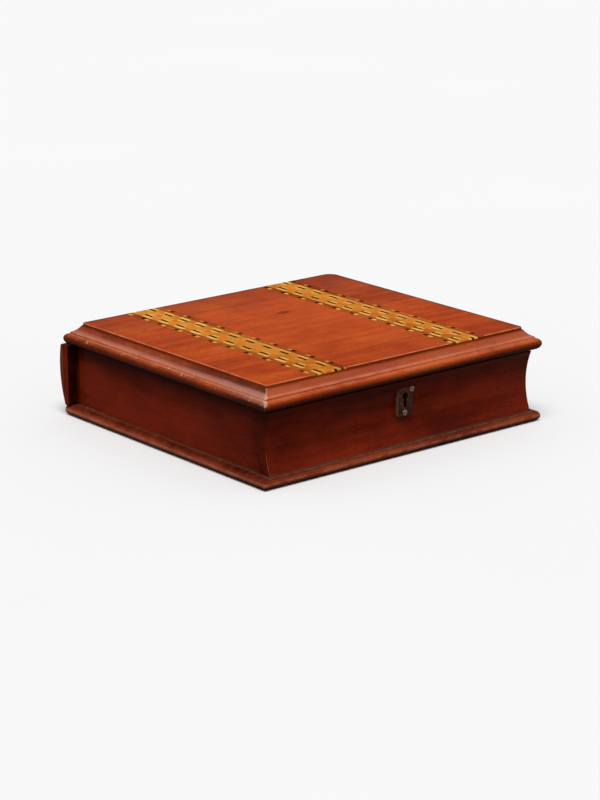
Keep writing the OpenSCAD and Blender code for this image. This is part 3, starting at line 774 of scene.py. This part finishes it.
    def end(self, side: Side) -> None:
        """One end wall."""
        node = "end_wall_" + side.word
        low, high = corners(node)
        bench = Bench("end_board_" + side.word).block(low, high)
        bench.divide(lambda edge: runs_along(edge, Axis.Y), 40)
        bench.round_edges(lambda edge: len(edge.link_faces) == 2 and edge.calc_face_angle() > 1
                          and not runs_along(edge, Axis.Y), self.end_eased, 2).smooth()
        outer = low.x if side is Side.LEFT else high.x
        face = tuple(sorted((outer - 0.8 * side.value, outer + side.value)))
        bench.fit_out("box", "mahogany_dark", WALL_WOOD.board(
            "end_" + side.word, Axis.Y, 12.0 + side.value,
            # Painted shadow under the lid, fading down the wall.
            Mark(SHADE_AND_STAIN, 0.7, z=(high.z - 2, high.z + 1), soft=11, broken=0.2, grain=30),
            Mark(DUST, 0.55, x=face, z=(low.z - 1, low.z + 0.8), soft=1.3, rough=0.3),
            # Painted shade at the back of the wall, beside the spine.
            Mark(SHADE_AND_STAIN, 0.85, y=(high.y - 3.6, high.y + 1), soft=1.4, broken=0.2),
            # Darker towards the front corner.
            Mark(SHADE_AND_STAIN, 0.4, y=(low.y - 1, low.y + 1), soft=(1, 12, 1), broken=0.4, grain=20),
            # Painted light: a brighter patch low in the middle of the wall.
            Mark(PAINTED_LIGHT, 0.5, y=(-30, 112), z=(8, 30), soft=(1, 60, 18), grain=30),
            Mark(CHIP, 0.9, x=face, y=(84, 110), z=(low.z - 1, low.z + 0.6), soft=0.4, broken=1.0,
                 sparse=0.6, grain=2.0, rough=0.3),
        ), node)

    def knuckles(self, low: float, high: float, side: Side) -> tuple[Vector, Piece]:
        """Cutter round one hinge's knuckles.

        Args:
            low: Its lower X.
            high: Its higher X.
            side: The hinge.

        Returns:
            The middle of the hinge's pin, and the cutter.
        """
        pin = sum(corners("hinge_pin_" + side.word), Vector()) / 2
        return pin, rod(self.knuckle_r, (low, pin.y, pin.z), (high, pin.y, pin.z))

    def hinge_mortise(self, kind: str, face: float, up: int) -> list[Piece]:
        """Cutters for the leaves of both hinges, and round their knuckles.

        Args:
            kind: Which leaves: body or lid.
            face: Height of the board's face that they lie in.
            up: 1 where that face looks up, -1 where it looks down.

        Returns:
            The cutters.
        """
        cutters = []
        for side in Side:
            low, high = corners(f"hinge_{kind}_leaf_{side.word}")
            left, right = low.x - self.play, high.x + self.play
            pin, round_knuckles = self.knuckles(left, right, side)
            lower, upper = sorted((face - up * self.leaf_t, face + up))
            cutters += [block((left, low.y - self.play, lower), (right, pin.y, upper)), round_knuckles]
        return cutters

    def back(self) -> None:
        """Back wall, with the mortises of the hinges."""
        low, high = corners("back_wall")
        bench = Bench("back_board").block(low, high)
        bench.cut(*self.hinge_mortise("body", high.z, 1)).soften(self.back_eased).smooth()
        bench.fit_out("box", "mahogany_dark", WALL_WOOD.board("back", Axis.X, 31.0), "back_wall")

    def spine(self) -> None:
        """Rounded spine, notched above for the knuckles."""
        low, high = corners("spine_board")
        head = Vector((low.x, low.y + self.spine_head, high.z))
        bench = self.bowed("spine_round", low, self.spine_foot, head, self.bulge)
        for side in Side:
            left, right = (corner.x for corner in corners("hinge_pin_" + side.word))
            left, right = left - self.play, right + self.play
            pin, round_knuckles = self.knuckles(left, right, side)
            bench.cut(block((left, pin.y, pin.z - self.knuckle_r),
                            (right, high.y + self.clear, high.z + self.clear)), round_knuckles)
        bench.soften(self.spine_eased, 50, 3).smooth()
        rubbed = [Mark(WEAR_AND_HIGHLIGHT, 0.15, x=x, y=(low.y + 7, high.y + 1), soft=0.4, broken=0.7, grain=9)
                  for x in ((low.x - 1, low.x + 0.6), (high.x - 0.6, high.x + 1))]
        bench.fit_out("box", "mahogany_dark", WALL_WOOD.board(
            "spine", Axis.X, 44.0, *rubbed,
            # Painted light on the middle of the spine's rounded back.
            Mark(PAINTED_LIGHT, 0.35, x=(-80, 80), y=(low.y + 8, high.y + 1), z=(low.z + 12, high.z - 12),
                 soft=(60, 3, 14), grain=30),
            # Painted shade at the foot of the spine, and on its inner face behind the end walls.
            Mark(SHADE_AND_STAIN, 0.6, z=(low.z - 1, low.z + 1), soft=1.5, broken=0.3),
            Mark(SHADE_AND_STAIN, 0.9, y=(low.y - 1, low.y + 0.2), soft=0.3, broken=0.1),
        ), "spine_board")


@dataclass
class Lid:
    """Lid panel and its four mitred mouldings."""

    case: Case  # the case below, which knows the hinges
    arris: float = 1.2  # rounding of the panel's top edge
    reach: float = 12.1  # reach of the moulding beyond the flat top
    fillet: float = 1.4  # reach of the panel beyond the flat top
    cove_top: float = 2.4  # drop from the top to the start of the cove
    cove_bottom: float = 7.9  # drop from the top to the lip
    bead: float = 9.1  # drop from the top to the bead's brow
    cove_r: float = 12.0  # radius of the cove
    bead_r: float = 4.0  # radius of the bead's upper side
    under_r: float = 5.5  # radius of its lower side
    lip_r: float = 0.55  # rounding of the lip and of the corner below it
    inlay_t: float = 1.5  # depth of the inlay's pockets
    band_x: float = 69.4  # distance of each band from the middle
    band_w: float = 36.0  # width of a band
    dents: int = 16  # dents in each moulding
    cuts: int = 90  # cuts along each moulding, so that a dent stays small
    # radius of each corner that wear has rounded, by its sides: 1 at the right or back, -1 opposite
    worn: dict[tuple[int, int], float] = field(
        default_factory=lambda: {(1, 1): 9.0, (-1, 1): 3.0, (1, -1): 3.0})

    def __post_init__(self) -> None:
        """Reads the panel's corners."""
        self.low, self.high = corners("lid_board")

    def build(self) -> None:
        """Builds and dresses the lid."""
        self.panel()
        for name, out in {"front": (0, -1), "back": (0, 1), "left": (-1, 0), "right": (1, 0)}.items():
            self.moulding(name, Vector((*out, 0)))

    def panel(self) -> None:
        """Panel with rounded top edges, pockets and mortises."""
        low, high = self.low, self.high
        bench = Bench("lid_panel").block(low, high)
        bench.round_edges(lambda edge: middle(edge).z > high.z - 0.1, self.arris, 5)
        bench.divide(lambda edge: runs_along(edge, Axis.X), 1)
        for (x_side, y_side), radius in self.worn.items():
            bench.cut(self.worn_corner(x_side, y_side, radius))
        for side in Side:
            x, half = side.value * self.band_x, self.band_w / 2
            bench.cut(block((x - half, low.y - 1, high.z - self.inlay_t),
                            (x + half, high.y + 1, high.z + 1)))
        link_low, link_high = corners("link_plate")
        play = Vector((self.case.play, self.case.play, 0))
        bench.cut(block(Vector((*link_low.xy, low.z - 1)) - play, link_high + play))
        bench.cut(*self.case.hinge_mortise("lid", low.z, -1)).smooth()
        bench.fit_out("lid", "mahogany", LID_WOOD.board(
            "lid", Axis.X, 0.0,
            Mark(rgb("D65C1E"), 0.4, x=(-40, 50), y=(-30, 60), soft=(50, 50, 1), broken=0.6, grain=30),
            Mark(rgb("842812"), 0.36, x=(0, 140), y=(-130, -90), soft=(60, 24, 1), grain=24),
            Mark(rgb("762610"), 0.36, y=(95, 130), soft=(1, 40, 1), grain=24),
            Mark(rgb("742410"), 0.46, x=(95, 140), y=(40, 120), soft=(40, 50, 1), broken=0.4, grain=30),
            Mark(rgb("702410"), 0.12, x=(-130, -112), soft=(20, 1, 1), broken=0.6, grain=16),
            # Pale line along the rounded arris: wear with a painted highlight.
            Mark(WEAR_AND_HIGHLIGHT, 0.75, z=(high.z - 0.5, high.z - 0.1), soft=0.07, grain=8),
            # Painted shade on the panel's side below the arris.
            Mark(SHADE_AND_STAIN, 0.5, z=(low.z, high.z - 0.95), soft=0.35, broken=0.1),
            # Darker strips along the back and right edges.
            Mark(SHADE_AND_STAIN, 0.65, y=(high.y - 3.0, high.y + 1), soft=0.9, broken=0.4, grain=12),
            Mark(SHADE_AND_STAIN, 0.6, x=(high.x - 2.8, high.x + 1), soft=0.8, broken=0.4, grain=12),
            Mark(rgb("3C1208"), 0.9, x=(11.5, 14), y=(38, 39), soft=(9, 4, 1), broken=0.6, grain=5.0),
        ), "lid_board")

    def worn_corner(self, x_side: int, y_side: int, radius: float) -> Piece:
        """Models a cutter that rounds one corner of the panel's raised top.

        Args:
            x_side: 1 at the right, -1 at the left.
            y_side: 1 at the back, -1 at the front.
            radius: Radius of the corner, seen from above.

        Returns:
            The cutter.
        """
        top, foot = self.high.z, self.high.z - self.cove_top
        hub = Vector((x_side * (self.high.x - radius), y_side * (self.high.y - radius), 0))
        keep = Bench("corner_keep").rod(radius, hub + UP * (foot - 1), hub + UP * (top + 0.01), 96)
        kept = keep.round_edges(lambda edge: middle(edge).z > top - 0.1, self.arris, 5).close()
        tip = hub + Vector((x_side, y_side, 0)) * (radius + 1)
        low, high = ([pick(*pair) for pair in zip(hub.xy, tip.xy)] for pick in (min, max))
        return Bench("corner_cutter").block((*low, foot), (*high, top + 1)).cut(kept).close()

    def moulding(self, name: str, out: Vector) -> None:
        """One mitred length of moulding.

        Args:
            name: Its side of the lid.
            out: Direction away from the lid.
        """
        depth = self.high.z - self.low.z
        run = out.cross(UP)
        top = self.high.xy - Vector((self.fillet, self.fillet))
        edge = Vector((out.x * top.x, out.y * top.y, self.low.z))
        half_run = abs(run.x) * top.x + abs(run.y) * top.y
        start = edge - run * (half_run + 2 * self.reach)

        def at(outwards: float, height: float) -> Vector:
            """A place in the profile."""
            return start + out * outwards + UP * height

        lip = Vector((self.reach - self.bead_r, depth - self.cove_bottom))
        cove = Vector((self.fillet, depth - self.cove_top))
        chord = cove - lip
        rise = math.sqrt(self.cove_r**2 - chord.length_squared / 4)
        hub = (cove + lip) / 2 + rise * Vector((-chord.y, chord.x)) / -chord.length
        degrees = 2 * math.degrees(math.asin(chord.length / 2 / self.cove_r))
        bench = Bench("moulding_" + name).point(at(self.fillet, 0))
        bench.line(out * (self.reach - self.under_r - self.fillet))
        bench.arc(at(self.reach - self.under_r, self.under_r), run, 90, 10)
        bench.arc(at(self.reach - self.bead_r, self.under_r), run, 90, 8)
        bench.line(UP * (lip.y - self.under_r - self.bead_r))
        bench.arc(at(*hub), run, -degrees, 12)
        bench.line(UP * -cove.y)
        bench.sweep(run * 2 * (half_run + 2 * self.reach))
        brow = edge.dot(out) + lip.x
        bench.round_edges(lambda seam: abs(middle(seam).dot(out) - brow) < 0.05, self.lip_r, 3)
        for end in (-1, 1):
            bench.slice(edge + run * end * half_run, run * end - out)
        along = Axis.X if out.y else Axis.Y
        bench.divide(lambda seam: runs_along(seam, along), self.cuts)
        chance = random.Random(bench.name)
        for _ in range(self.dents):
            run_place = chance.uniform(-half_run, half_run)
            outwards, height = chance.choice(((lip.x, lip.y), (self.reach - 0.3, self.under_r + 1.5)))
            push = -(out * 0.7 + UP * 0.7) * chance.uniform(0.12, 0.4)
            bench.dent(edge + run * run_place + out * outwards + UP * height, push, chance.uniform(1.2, 3.0))
        bench.smooth(34).fit_out(
            "lid", "mahogany", replace(LID_WOOD, polish=0.07).board(
                "moulding_" + name, along, 50.0 + 7 * out.x + 3 * out.y, *self.moulding_marks(name)),
            "lid_moulding_" + name)

    def moulding_marks(self, name: str) -> list[Mark]:
        """Painted shade and dirt in the hollows, painted sheen in the cove, and wear and painted highlights
        on the edges of the moulding on one side.
        """
        top = self.high.z
        lip, bead = top - self.cove_bottom, top - self.bead
        x, y = -self.high.x - self.reach, -self.high.y - self.reach
        near, mitre = (x - 1, x + 30), x - y
        chipped = {"broken": 1.0, "grain": 3.4, "rough": 0.25}
        marks = [
            # Pinkish painted sheen in the cove.
            Mark(rgb("986258"), 0.36, z=(lip + 0.8, top - 3.8), soft=1.2, broken=0.4, grain=18),
            # Painted shade with some dirt at the top of the cove, under the panel's edge.
            Mark(SHADE_AND_STAIN, 0.4, z=(top - 2.7, top - 1), soft=1.1, broken=0.2, grain=20),
            # Worn lip and bead brow, with painted highlights along them.
            Mark(WEAR_AND_HIGHLIGHT, 0.5, z=(lip - 0.3, lip + 0.5), soft=0.9, broken=0.4, grain=10),
            Mark(WEAR_AND_HIGHLIGHT, 0.3, z=(bead - 1.4, bead + 0.3), soft=0.8, broken=0.6, grain=9),
            # Painted shade under the bead, darkest at its foot.
            Mark(rgb("260B06"), 0.95, z=(self.low.z - 1, self.low.z + 2.4), soft=(1, 1, 6.4), broken=0.05),
            Mark(CHIP, 0.75, slant=(mitre - 0.6, mitre + 0.6), x=near, z=(bead - 3.4, top - 1.6), soft=0.6,
                 grain=2.0, rough=0.25),
            Mark(CHIP, 0.8, slant=(mitre - 1.8, mitre + 1.8), x=near, z=(bead - 2.6, lip + 0.6), soft=1.2,
                 broken=0.9, grain=3.0, rough=0.25),
            Mark(CHIP, 0.6, x=(x - 1, x + 6), y=(y - 1, y + 6), z=(bead - 2, lip), soft=2.0, sparse=0.5,
                 **chipped),
        ]
        return marks if name != "left" else marks + [
            # On the left side: painted shade with some dirt in the upper cove, deepest near the front.
            Mark(SHADE_AND_STAIN, 0.45, z=(top - 5.2, top - 3.4), soft=0.9, grain=14),
            Mark(SHADE_AND_STAIN, 0.5, y=(y, y + 50), z=(top - 5.3, top - 2.6), soft=(1, 80, 0.9), broken=0.3, grain=14),
            # Painted sheen along the lip, and on the cove and bead near the front.
            Mark(PAINTED_SHEEN, 0.3, z=(lip + 0.2, lip + 1.4), soft=0.9, grain=26),
            Mark(PAINTED_SHEEN, 0.5, y=(y, y + 40), z=(lip - 0.1, top - 5.6), soft=(1, 60, 1.1), broken=0.4, grain=26,
                 rough=0.2),
            Mark(PAINTED_SHEEN, 0.45, y=(y, y + 30), z=(bead - 2.0, bead + 0.4), soft=(1, 40, 0.7), broken=0.6,
                 grain=9, rough=0.2),
            # Worn bead brow with a painted highlight.
            Mark(WEAR_AND_HIGHLIGHT, 0.5, z=(bead - 0.1, bead + 0.6), soft=0.5, broken=0.6, grain=12),
            Mark(CHIP, 0.6, z=(bead - 2.4, lip), soft=0.5, sparse=1.0, **chipped),
            # Painted shade on the lower side of the bead, deepest near the front.
            Mark(SHADE_AND_STAIN, 0.42, z=(bead - 4, bead - 1.0), soft=1.2, broken=0.4, grain=9),
            Mark(SHADE_AND_STAIN, 0.7, y=(y, y + 20), z=(bead - 6, bead - 3.2), soft=(1, 40, 1.4), broken=0.3, grain=9),
        ]


@dataclass(frozen=True)
class Row:
    """Tiles that repeat along a band."""

    timber: Timber
    across: float  # place of the row, to the right of the band's middle
    width: float  # width of a tile
    length: float  # length of a tile
    start: float  # distance of a tile's middle from the back edge of the flat top
    pitch: float  # distance between neighbouring tiles

    def filled(self) -> list["Row"]:
        """The row, and the satinwood tiles that fill it between these."""
        return [self, replace(self, timber=Timber.SATINWOOD, length=self.pitch - self.length,
                              start=self.start + self.pitch / 2)]


@dataclass
class Band:
    """One inlaid band across the lid."""

    lid: Lid
    side: Side  # its half of the lid
    start: float  # distance of a left dash from the back edge of the flat top
    blocks: Span  # distance of a dark border block from that edge, left and right
    period: float = 21.2  # length of one repeat of the dashes
    stagger: float = 9.0  # distance from a left dash to the next right dash
    block_pitch: float = 22.2  # distance between neighbouring blocks of a border
    seam: float = 0.12  # gap between tiles

    def rows(self) -> list[Row]:
        """All rows of tiles: squares in the middle, then dashes, lines and border on each hand."""
        period = self.period
        rows = Row(Timber.REDWOOD, 0, 4.4, 6.0, self.start + 5.7, period).filled()
        for hand, block_start in zip((-1, 1), self.blocks):
            dash = self.start + (self.stagger if hand > 0 else 0)
            for timber, across, width, length, late in ((Timber.BOXWOOD, 3.7, 2.8, 8.5, 0),
                                                        (Timber.EBONY, 6.4, 2.3, 10.0, 0),
                                                        (Timber.BOXWOOD, 9.4, 3.3, 12.5, -2.6 * hand)):
                rows += Row(timber, hand * across, width, length, dash + late, period).filled()
            for timber, across, width in ((Timber.EBONY, 12.2, 0.5), (Timber.SATINWOOD, 11.5, 0.7),
                                          (Timber.TULIPWOOD, 13.25, 1.5), (Timber.TULIPWOOD, 17.4, 0.9)):
                rows.append(Row(timber, hand * across, width, period, dash, period))
            rows += self.border(hand, block_start)
        return rows

    def border(self, hand: int, start: float) -> list[Row]:
        """Border of dark and pale blocks, with plain wood between them."""
        across, width, dark, pale, gap = 15.5, 2.8, 4.6, 4.4, 0.4
        plain = self.block_pitch - dark - pale - gap
        tiles = ((Timber.EBONY, dark, 0),
                 (Timber.BOXWOOD if hand < 0 else Timber.SATINWOOD, pale, -(dark + pale) / 2 - gap),
                 (Timber.TULIPWOOD, gap, -(dark + gap) / 2),
                 (Timber.TULIPWOOD, plain, (dark + plain) / 2))
        return [Row(timber, hand * across, width, length, start + hand * late, self.block_pitch)
                for timber, length, late in tiles]

    def tiles(self, row: Row) -> Piece:
        """Models one tile, repeats it along the band and cuts the row to the panel's form.

        Args:
            row: The row.

        Returns:
            The row as one object.
        """
        lid = self.lid
        top, half_d = lid.high.z, lid.high.y
        x = self.side.value * lid.band_x + row.across
        first = half_d - lid.fillet - row.start
        first += row.pitch * math.ceil((half_d + row.length - first) / row.pitch)
        half = Vector((row.width - self.seam, row.length - self.seam, 0)) / 2
        bench = Bench("tiles").block(Vector((x, first, top - lid.inlay_t)) - half,
                                     Vector((x, first, top)) + half)
        count = math.ceil((2 * half_d + 2 * row.length) / row.pitch) + 2
        bench.apply("ARRAY", count=count, use_relative_offset=False, use_constant_offset=True,
                    constant_offset_displace=(0, -row.pitch * MM, 0)).open()
        for end in (-1, 1):
            hub = Vector((0, end * (half_d - lid.arris), top - lid.arris))
            for angle in map(math.radians, (0, 30, 60)):
                way = Vector((0, end * math.cos(angle), math.sin(angle)))
                bench.slice(hub + way * lid.arris, way)
        return bench.close()

    def build(self) -> None:
        """Builds the band: the tiles of each wood are one piece."""
        word = self.side.word
        stands_for = {Timber.SATINWOOD: "inlay_ground_", Timber.EBONY: "inlay_ebony_",
                      Timber.REDWOOD: "inlay_squares_"}
        slots = {Timber.EBONY: "ebony", Timber.REDWOOD: "red_wood"}
        for timber in Timber:
            group = [self.tiles(row) for row in self.rows() if row.timber is timber]
            bench = Bench(f"{timber.name.lower()}_tiles_{word}", group[0])
            for tiles in group:
                tiles.select_set(True)
            if len(group) > 1:
                bpy.ops.object.join()
            bench.piece.name = bench.name
            made = bpy.data.materials.get(timber.value.name)
            nodes = [stands_for[timber] + word] if timber in stands_for else []
            bench.soften(0.04, 60, 1).fit_out("lid", slots.get(timber, "boxwood"),
                                              made or timber.value.material(), *nodes)


@dataclass
class Escutcheon:
    """Key plate on the front wall, with its two worn screws."""

    case: Case
    corner: float = 2.0  # rounding of its lower corners
    eased: float = 0.5  # rounding of its front edges
    head_r: float = 2.4  # radius of a screw's round head
    head_h: float = 1.2  # height of a screw's round head
    shank_r: float = 1.1  # radius of a screw's shank
    slot_half: float = 0.3  # half the width of a screw's slot
    slot_depth: float = 0.55  # its depth
    upper: Span = (6.35, -1.9)  # place of the upper screw: right of the plate's middle, above its top
    lower: Span = (-0.5, 2.6)  # place of the lower screw: right of the plate's middle, above its foot
    turns: Span = (70, 40)  # angle of each screw's slot in degrees

    def build(self) -> None:
        """Builds and dresses the plate and its screws."""
        low, high = corners("escutcheon")
        bench = Bench("key_plate").block(low, high + Axis.Y.unit * 2)
        bench.round_edges(lambda edge: runs_along(edge, Axis.Y) and middle(edge).z < low.z + 1,
                          self.corner, 6)
        bench.round_edges(lambda edge: middle(edge).y < low.y + 0.1, self.eased, 3).outward()
        wall_low, wall_high = corners("front_wall")
        hub, radius, _ = bow(wall_low, Vector((*wall_low.xy, wall_high.z)), self.case.hollow)
        hollow = rod(radius - 0.05, (low.x - 1, hub.y, hub.z), (high.x + 1, hub.y, hub.z), 360)
        bench.cut(hollow, operation="INTERSECT").cut(*self.case.keyhole(low.y - 1, high.y + 1))
        bench.soften(0.12, 50).smooth(35)
        metal = replace(Fitting.OLD_BRASS.value, marks=(
            # Painted highlights down the plate's left side and along its top edge.
            Mark(rgb("965E4E"), 0.7, x=(low.x - 1, low.x + 0.5), z=(low.z - 1, high.z - 6),
                 soft=(0.3, 1, 5), broken=0.4, grain=3),
            Mark(rgb("784836"), 0.6, z=(high.z - 0.5, high.z + 1), soft=0.4, grain=3),
            Mark(rgb("140A07"), 0.5, x=(low.x + 2, high.x), z=(low.z - 1, low.z + 5), soft=3.0,
                 broken=0.7, grain=5),
            # Painted shade inside the keyhole.
            Mark(SHADE_AND_STAIN, 0.95, x=(-1.4, 4.4), y=(low.y + 0.5, high.y), z=(36, 48.4), soft=0.3, broken=0.1),
        ))
        bench.fit_out("box", "old_brass", metal.material(), "escutcheon")
        middle_x = (low.x + high.x) / 2
        self.screw(1, Vector((middle_x + self.upper[0], low.y, high.z + self.upper[1])), "escutcheon_screws")
        self.screw(2, Vector((middle_x + self.lower[0], low.y, low.z + self.lower[1])))

    def screw(self, number: int, place: Vector, *nodes: str) -> None:
        """Round-headed screw, with its slot cut and its rim worn.

        Args:
            number: 1 for the upper screw, 2 for the lower one.
            place: Middle of its head, on the plate's face.
            nodes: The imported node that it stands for.
        """
        back = Axis.Y.unit
        front = place.y - self.head_h
        bench = Bench(f"plate_screw_{number}").rod(self.head_r, place, place - back * self.head_h)
        bench.round_edges(lambda edge: middle(edge).y < front + 0.05 and len(edge.link_faces) == 2,
                          self.head_h * 0.9, 5)
        slot = block((-3, front - 1, -self.slot_half), (3, front + self.slot_depth, self.slot_half))
        slot.data.transform(Matrix.Translation(Vector((place.x, 0, place.z)) * MM)
                            @ Matrix.Rotation(math.radians(self.turns[number - 1]), 4, "Y"))
        shank_end = Vector((place.x, corners("escutcheon_screws")[1].y, place.z))
        bench.cut(slot).cut(rod(self.shank_r, place - back * 0.2, shank_end, 24), operation="UNION")
        bench.soften(0.1, 50).smooth(35)
        bench.fit_out("box", "old_brass", Fitting.WORN_BRASS.value.material(), *nodes)


@dataclass
class Hardware:
    """Hinges and lock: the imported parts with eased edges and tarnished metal."""

    eased: float = 0.12  # width of the eased edges

    def build(self) -> None:
        """Builds and dresses hinges, lock and link plate."""
        metals = {metal.value.name: metal.value.material() for metal in (Fitting.BRASS, Fitting.STEEL)}
        for body, nodes in frame["record"]["behaviour"]["bodies"].items():
            for node in nodes:
                if node.startswith(("hinge_", "lock_", "link_")):
                    slot = "steel" if node in ("lock_drill_pin", "lock_spring", "lock_screws") else "brass"
                    self.refined(node).fit_out(body, slot, metals[slot], node)

    def refined(self, node: str) -> Bench:
        """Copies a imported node, joins its loose triangles and eases its edges."""
        piece = bpy.data.objects.new(node + "_eased", frame["nodes"][node].data.copy())
        bpy.context.scene.collection.objects.link(piece)
        bench = Bench(piece.name, piece).open()
        bpy.ops.mesh.remove_doubles(threshold=0.002 * MM)
        bpy.ops.mesh.dissolve_limited(angle_limit=math.radians(1))
        return bench.soften(self.eased).smooth()


@dataclass
class Linings:
    """Velvet on the floor of the box and under the lid."""

    swell: float = 0.5  # how far the cloth stands up off its card
    thick: float = 0.35  # thickness of the cloth
    margin: float = 9.0  # width in which it falls to its edge
    cells: int = 60  # divisions along each side

    def build(self) -> None:
        """Builds and dresses both linings."""
        cloth = Velvet("lining_cloth", *shades("6A171F 7C2229 2E080C")).material()
        self.lay("floor_velvet", "floor_lining", 1, "box", cloth)
        self.lay("lid_velvet", "lid_lining", -1, "lid", cloth)

    def lay(self, name: str, node: str, up: int, body: str, cloth: Material) -> None:
        """Lays one sheet of velvet on its card.

        Args:
            name: The piece's name.
            node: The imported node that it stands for.
            up: 1 where it lies on the floor, -1 where it hangs under the lid.
            body: The body that it rides on.
            cloth: Its material.
        """
        low, high = corners(node)
        size, centre = high - low, (low + high) / 2
        seat, face = (low.z, high.z)[::up]
        bench = Bench(name)
        bpy.ops.mesh.primitive_grid_add(x_subdivisions=self.cells, y_subdivisions=self.cells, size=1)
        bench.take()
        bpy.ops.transform.resize(value=(size.x * MM, size.y * MM, 1))
        bpy.ops.transform.translate(value=Vector((centre.x, centre.y, face)) * MM)
        bench.pick(Kind.VERT, lambda vert: vert.is_boundary)
        bpy.ops.transform.translate(value=(0, 0, (seat - face + 0.1 * up) * MM))
        bench.close()
        chance = random.Random(name)
        waves = [[chance.uniform(*span) for span in ((20, 70), (20, 70), (0, 6))] for _ in range(5)]
        for vert in bench.piece.data.vertices:
            place = vert.co / MM
            inset = min(high.x - abs(place.x), place.y - low.y, high.y - place.y)
            ease = min(max(inset / self.margin, 0), 1)
            ripple = sum(math.sin(place.x / a + place.y / b + c) for a, b, c in waves) / len(waves)
            vert.co.z += up * self.swell * MM * (0.55 + 0.45 * ripple) * ease * (2 - ease)
        if up < 0:
            bench.piece.data.flip_normals()
        bench.apply("SOLIDIFY", thickness=self.thick * MM, offset=-1.0).smooth(60)
        piece = bench.fit_out(body, "lining_cloth", cloth, node)


@dataclass
class Studio:
    """Camera, floor and light of the picture."""

    eye: Point = (-1.23383, -1.51110, 0.59238)  # place of the camera in metres
    heading: float = 39.194  # direction of view from +Y towards +X, in degrees
    dip: float = 16.496  # angle below the horizon, in degrees
    roll: float = -0.2651  # roll of the camera, in degrees
    focal: float = 2549.9  # focal length in pixels of the picture
    sensor: float = 36.0  # width of the sensor
    floor_size: float = 40.0  # side of the floor in metres
    bounce: tuple = rgb("82807E")  # colour by which the floor lights the object from below
    sky: float = 0.34  # strength of the even light from all round
    lamp: float = 2.15  # strength of the overhead lamp
    lamp_width: float = 34.0  # its width in degrees, which softens the shadow
    lamp_from: Point = (-0.25, -0.27, 1.0)  # direction in which it stands

    def build(self) -> None:
        """Sets up camera, floor and light."""
        self.camera()
        self.floor()
        self.light()
        bpy.context.scene.view_settings.view_transform = "Standard"

    def add(self, name: str, data: bpy.types.ID) -> Piece:
        """Adds a camera or lamp to the scene."""
        thing = bpy.data.objects.new(name, data)
        bpy.context.scene.collection.objects.link(thing)
        return thing

    def camera(self) -> None:
        """Camera at the photograph's place."""
        heading, dip, roll = map(math.radians, (self.heading, self.dip, self.roll))
        ahead = Vector((math.sin(heading) * math.cos(dip), math.cos(heading) * math.cos(dip), -math.sin(dip)))
        level = Vector((math.cos(heading), -math.sin(heading), 0))
        above = level.cross(ahead)
        right = math.cos(roll) * level + math.sin(roll) * above
        up = -math.sin(roll) * level + math.cos(roll) * above
        data = bpy.data.cameras.new("camera")
        data.sensor_width = self.sensor
        data.lens = self.focal * self.sensor / max(PICTURE)
        data.clip_start, data.clip_end = 0.05, 100
        camera = self.add("camera", data)
        turn = Matrix((right, up, -ahead)).transposed().to_4x4()
        camera.matrix_world = Matrix.Translation(Vector(self.eye)) @ turn
        bpy.context.scene.camera = camera

    def floor(self) -> None:
        """Plain pale floor, which keeps the object's shadow."""
        Bench("floor")
        bpy.ops.mesh.primitive_plane_add(size=self.floor_size)
        plane = bpy.context.active_object
        plane.name = "floor"
        desk = NodeDesk(bpy.data.materials.new("floor_paint"))
        pale = desk.mix(desk.noise((3, 3, 3), 2.0), *shades("F9F9F9 FCFCFC"))
        colour = desk.mix(desk.seen(), self.bounce, pale)
        plane.data.materials.append(desk.finish(colour, 0.9, {"Specular IOR Level": 0.0}))

    def light(self) -> None:
        """Soft overhead lamp, and a sky that is even and looks white."""
        data = bpy.data.lights.new("key", "SUN")
        data.energy, data.angle = self.lamp, math.radians(self.lamp_width)
        lamp = self.add("key", data)
        lamp.rotation_mode = "QUATERNION"
        lamp.rotation_quaternion = Vector(self.lamp_from).to_track_quat("Z", "Y")
        world = bpy.context.scene.world = bpy.data.worlds.new("sky")
        desk = NodeDesk(world)
        background = desk.nodes["Background"].inputs
        desk.feed(background["Color"], (1, 1, 1, 1))
        desk.feed(background["Strength"], desk.step(desk.seen(), 0.0, 1.0, self.sky))


def main() -> None:
    """Builds the studio and the box."""
    logging.basicConfig(level=logging.INFO, format="%(name)s: %(message)s")
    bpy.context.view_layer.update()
    Studio().build()
    case = Case()
    case.build()
    lid = Lid(case)
    lid.build()
    Band(lid, Side.LEFT, 16.0, (21.1, 18.0)).build()
    Band(lid, Side.RIGHT, 14.7, (4.1, 1.3)).build()
    Escutcheon(case).build()
    Hardware().build()
    Linings().build()


if __name__ == "__main__":
    main()
